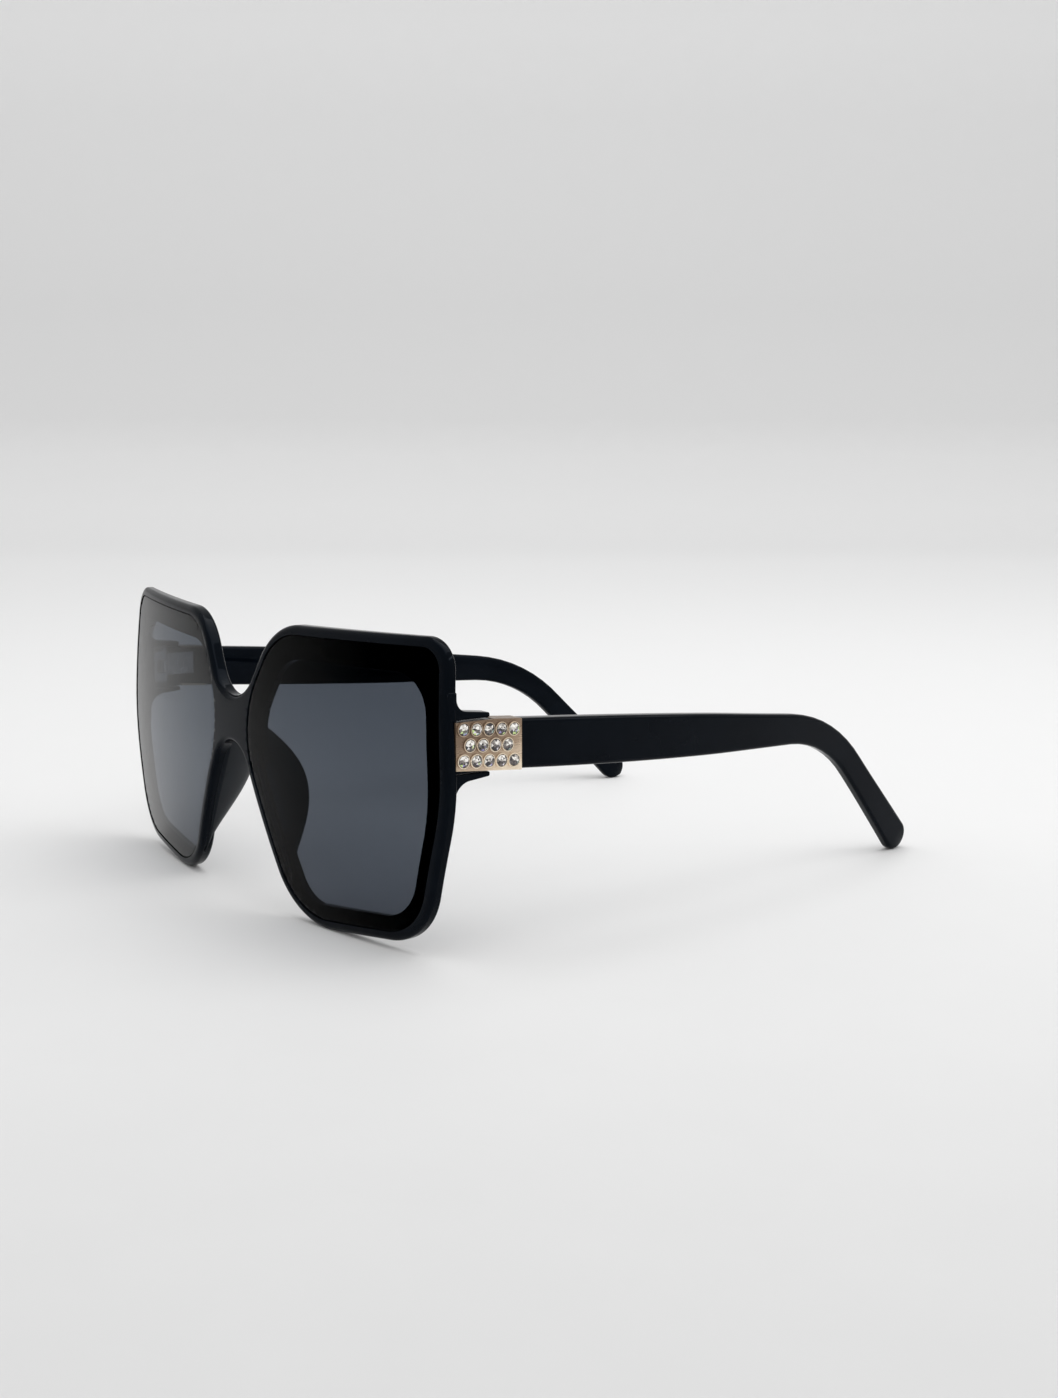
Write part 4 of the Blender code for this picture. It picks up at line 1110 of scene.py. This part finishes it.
def makeStone():
    # built with its axis along X at the origin, girdle at the height of the seat's rim
    freshStart()
    bpy.ops.mesh.primitive_circle_add(vertices=stone["sides"], radius=plate["stoneRadius"],
                                      fill_type="NGON")
    gem = bpy.context.object
    gem.name = "crystal"
    bpy.ops.object.mode_set(mode="EDIT")
    bpy.ops.mesh.select_mode(type="FACE")
    bpy.ops.mesh.select_all(action="SELECT")
    extrude((0.0, 0.0, stone["girdle"]))
    middle = (1.0 + stone["tableShare"]) / 2
    tiers = ((middle, stone["lowerCrown"]),
             (stone["tableShare"] / middle, 1.0 - stone["lowerCrown"]))
    for share, lift in tiers:
        extrude((0.0, 0.0, stone["crown"] * lift))
        bpy.ops.transform.resize(value=(share, share, 1.0))
        bpy.ops.transform.rotate(value=math.pi / stone["sides"], orient_axis="Z",
                                 center_override=(0.0, 0.0, 0.0))
    bpy.ops.mesh.inset(thickness=plate["stoneRadius"] * stone["tableShare"] * stone["tableInset"])
    bpy.ops.mesh.poke()
    bpy.ops.mesh.select_all(action="DESELECT")
    closeMesh()
    openMesh(gem)
    pick(gem, "FACE", lambda face: face.calc_center_median().z < handling["onFace"])
    extrude((0.0, 0.0, -stone["pavilion"]))
    bpy.ops.transform.resize(value=(stone["culetShare"], stone["culetShare"], 1.0))
    bpy.ops.mesh.select_all(action="SELECT")
    bpy.ops.mesh.quads_convert_to_tris()
    bpy.ops.mesh.normals_make_consistent(inside=False)
    closeMesh()
    gem.data.transform(Matrix.Rotation(math.pi / 2, 4, "Y"))
    gem.data.transform(Matrix.Translation((plate["seatRise"] - stone["girdle"], 0.0, 0.0)))
    takeUp(gem)
    bpy.ops.object.shade_flat()
    return gem


def paintFacetReflections(gem, dice):
    # painted reflections: bright facets above, a dark band under the middle, small painted sparkles at
    # the foot
    tones = gem.data.color_attributes.new("paintedFacetReflection", "FLOAT_COLOR", "CORNER")
    tilt = dice.uniform(-stone["tilt"], stone["tilt"])
    for face in gem.data.polygons:
        height = (face.center.z + face.center.y * tilt) / plate["stoneRadius"]
        chance = dice.random()
        if height > stone["bandTop"]:
            palette = stone["bright"] if chance < stone["brightChance"] else stone["dark"]
        elif height > stone["bandFoot"]:
            palette = stone["dark"] if chance < stone["darkChance"] else stone["glints"]
        else:
            palette = stone["glints"] if chance < stone["glintChance"] else stone["dark"]
        tone = dice.choice(palette)
        for corner in face.loop_indices:
            tones.data[corner].color = (*tone, 1.0)


dice = random.Random(stone["seed"])
master = makeStone()
for number, place in enumerate(stonePlaces, start=1):
    for side, label in ((1, "left"), (-1, "right")):
        gem = master.copy()
        gem.data = master.data.copy()
        gem.name = "crystal_%s_%02d" % (label, number)
        bpy.context.scene.collection.objects.link(gem)
        gem.data.transform(Matrix.Rotation(dice.uniform(0.0, math.pi), 4, "X"))
        paintFacetReflections(gem, dice)
        gem.data.transform(Matrix.Translation(place))
        if side < 0:
            gem.data.transform(Matrix.Scale(-1.0, 4, (1.0, 0.0, 0.0)))
            gem.data.flip_normals()
        dress(gem, crystal, "crystal", label + "_temple", "stone_%s_%02d" % (label, number))
bpy.data.objects.remove(master)
print("stage 6: stones,", 2 * len(stonePlaces))


# Hinges keep their solids and get a brushed finish
for name, node in frame["nodes"].items():
    if "leaf" in name or "rivet" in name or "screw" in name:
        node.data.materials.clear()
        node.data.materials.append(hingeSteel)


# Table, backdrop, light and camera

studio = {
    "turn": math.radians(53.6),
    # the paper's tones change along this way, over the table and up the wall: painted light and shade,
    # darker in front of the glasses, a painted pool of light round them, the bend into the wall painted
    # lighter against its own shade, and the wall's shading painted on
    "viewWay": (-0.80455, 0.59388, 1.0),
    "reach": (-0.6, 2.4),
    "tones": [(-0.60, 0.90), (-0.42, 0.68), (-0.254, 0.635), (-0.121, 0.72), (0.058, 0.80),
              (0.40, 0.86), (0.97, 0.95), (1.32, 0.93), (1.475, 0.89), (1.57, 0.83),
              (1.81, 0.82), (2.12, 0.88), (2.22, 0.93)],
    "speckleScale": 40.0,
    "speckle": 0.012,
    "paperRoughness": 0.6,
    "paperShine": 0.15,
    "tableEdgeY": 1.10,
    "sweepRadius": 0.55,
    "sweepSteps": 24,
    "wallHeight": 3.0,
    "halfWidth": 9.0,
    "frontY": -8.0,
}


def makeSweep():
    # table that curves up into the wall behind, seen from the camera's side
    freshStart()
    bpy.ops.mesh.primitive_plane_add(size=1.0)
    sweep = bpy.context.object
    sweep.name = "studio_sweep"
    bpy.ops.object.mode_set(mode="EDIT")
    bpy.ops.mesh.select_mode(type="EDGE")
    width = studio["halfWidth"]
    length = studio["tableEdgeY"] - studio["frontY"]
    bpy.ops.transform.resize(value=(2 * width, length, 1.0))
    bpy.ops.transform.translate(value=(0.0, (studio["tableEdgeY"] + studio["frontY"]) / 2, 0.0))
    pick(sweep, "EDGE", lambda edge: min(vertex.co.y for vertex in edge.verts) > 0)
    bpy.ops.mesh.spin(steps=studio["sweepSteps"], angle=-math.pi / 2, axis=(1.0, 0.0, 0.0),
                      center=(0.0, studio["tableEdgeY"], studio["sweepRadius"]))
    extrude((0.0, 0.0, studio["wallHeight"]))
    bpy.ops.mesh.select_all(action="SELECT")
    bpy.ops.mesh.normals_make_consistent(inside=False)
    closeMesh()
    sweep.data.transform(Matrix.Rotation(studio["turn"], 4, "Z"))
    takeUp(sweep)
    bpy.ops.object.shade_smooth_by_angle(angle=handling["smooth"])
    return sweep


def studioPaper():
    material, tree, shader = newMaterial("studio_paper", (0.85, 0.85, 0.85), studio["paperRoughness"])
    shader.inputs["Specular IOR Level"].default_value = studio["paperShine"]
    place = addNode(tree, "ShaderNodeTexCoord").outputs["Object"]
    low, high = studio["reach"]
    reach = vectorMath(tree, "DOT_PRODUCT", place, studio["viewWay"])
    speckle = objectNoise(tree, studio["speckleScale"], 4.0)
    shift = addNode(tree, "ShaderNodeMath", operation="MULTIPLY_ADD")
    shift.inputs[1].default_value = studio["speckle"]
    tree.links.new(speckle.outputs["Fac"], shift.inputs[0])
    tree.links.new(mapped(tree, reach.outputs["Value"], low, high).outputs["Result"], shift.inputs[2])
    tones = [((position - low) / (high - low), tone) for position, tone in studio["tones"]]
    # painted light and shade: the paper's colour carries the falloff of the light over the table and up
    # the wall
    seen = ramp(tree, shift.outputs["Value"], greys(tones))
    tree.links.new(seen.outputs["Color"], shader.inputs["Base Color"])
    return material


sweep = makeSweep()
sweep.data.materials.append(studioPaper())

lamps = {
    "soft_box": {"place": (0.10, 0.05, 0.80), "size": (0.80, 0.80), "power": 3.5},
    # narrow and bright, for the lines of light along the polished edges
    "strip_light": {"place": (0.62, 0.68, 0.74), "size": (0.90, 0.07), "power": 1.1},
}
for name, lamp in lamps.items():
    freshStart()
    bpy.ops.object.light_add(type="AREA", location=lamp["place"])
    light = bpy.context.object
    light.name = name
    light.data.shape = "RECTANGLE"
    light.data.size, light.data.size_y = lamp["size"]
    light.data.energy = lamp["power"]
    light.rotation_euler = Vector(lamp["place"]).to_track_quat("Z", "Y").to_euler()

surroundings = {
    "tones": [(0.0, 0.88), (0.9, 1.0)],     # from level to nearly overhead
    "strength": 0.78,
}
world = bpy.context.scene.world or bpy.data.worlds.new("studio_world")
bpy.context.scene.world = world
world.use_nodes = True
sky = world.node_tree
background = sky.nodes["Background"]
direction = addNode(sky, "ShaderNodeTexCoord")
parted = addNode(sky, "ShaderNodeSeparateXYZ")
sky.links.new(direction.outputs["Generated"], parted.inputs["Vector"])
glow = ramp(sky, parted.outputs["Z"], greys(surroundings["tones"]))
sky.links.new(glow.outputs["Color"], background.inputs["Color"])
background.inputs["Strength"].default_value = surroundings["strength"]

view = {
    "place": (0.35422, -0.25740, 0.10700),
    "azimuth": math.radians(53.63),
    "elevation": math.radians(8.877),
    "roll": math.radians(0.07),
    "lens": 45.03,
    "sensor": 36.0,
    "clipStart": 0.01,
}
cameraData = bpy.data.cameras.new("photo_camera")
cameraData.lens = view["lens"]
cameraData.sensor_width = view["sensor"]
cameraData.clip_start = view["clipStart"]
camera = bpy.data.objects.new("photo_camera", cameraData)
bpy.context.scene.collection.objects.link(camera)
camera.matrix_world = (Matrix.Translation(view["place"])
                       @ Matrix.Rotation(view["azimuth"], 4, "Z")
                       @ Matrix.Rotation(math.pi / 2 - view["elevation"], 4, "X")
                       @ Matrix.Rotation(view["roll"], 4, "Z"))
bpy.context.scene.camera = camera
bpy.context.scene.view_settings.view_transform = "Standard"
print("stage 7: studio and camera")

freshStart()
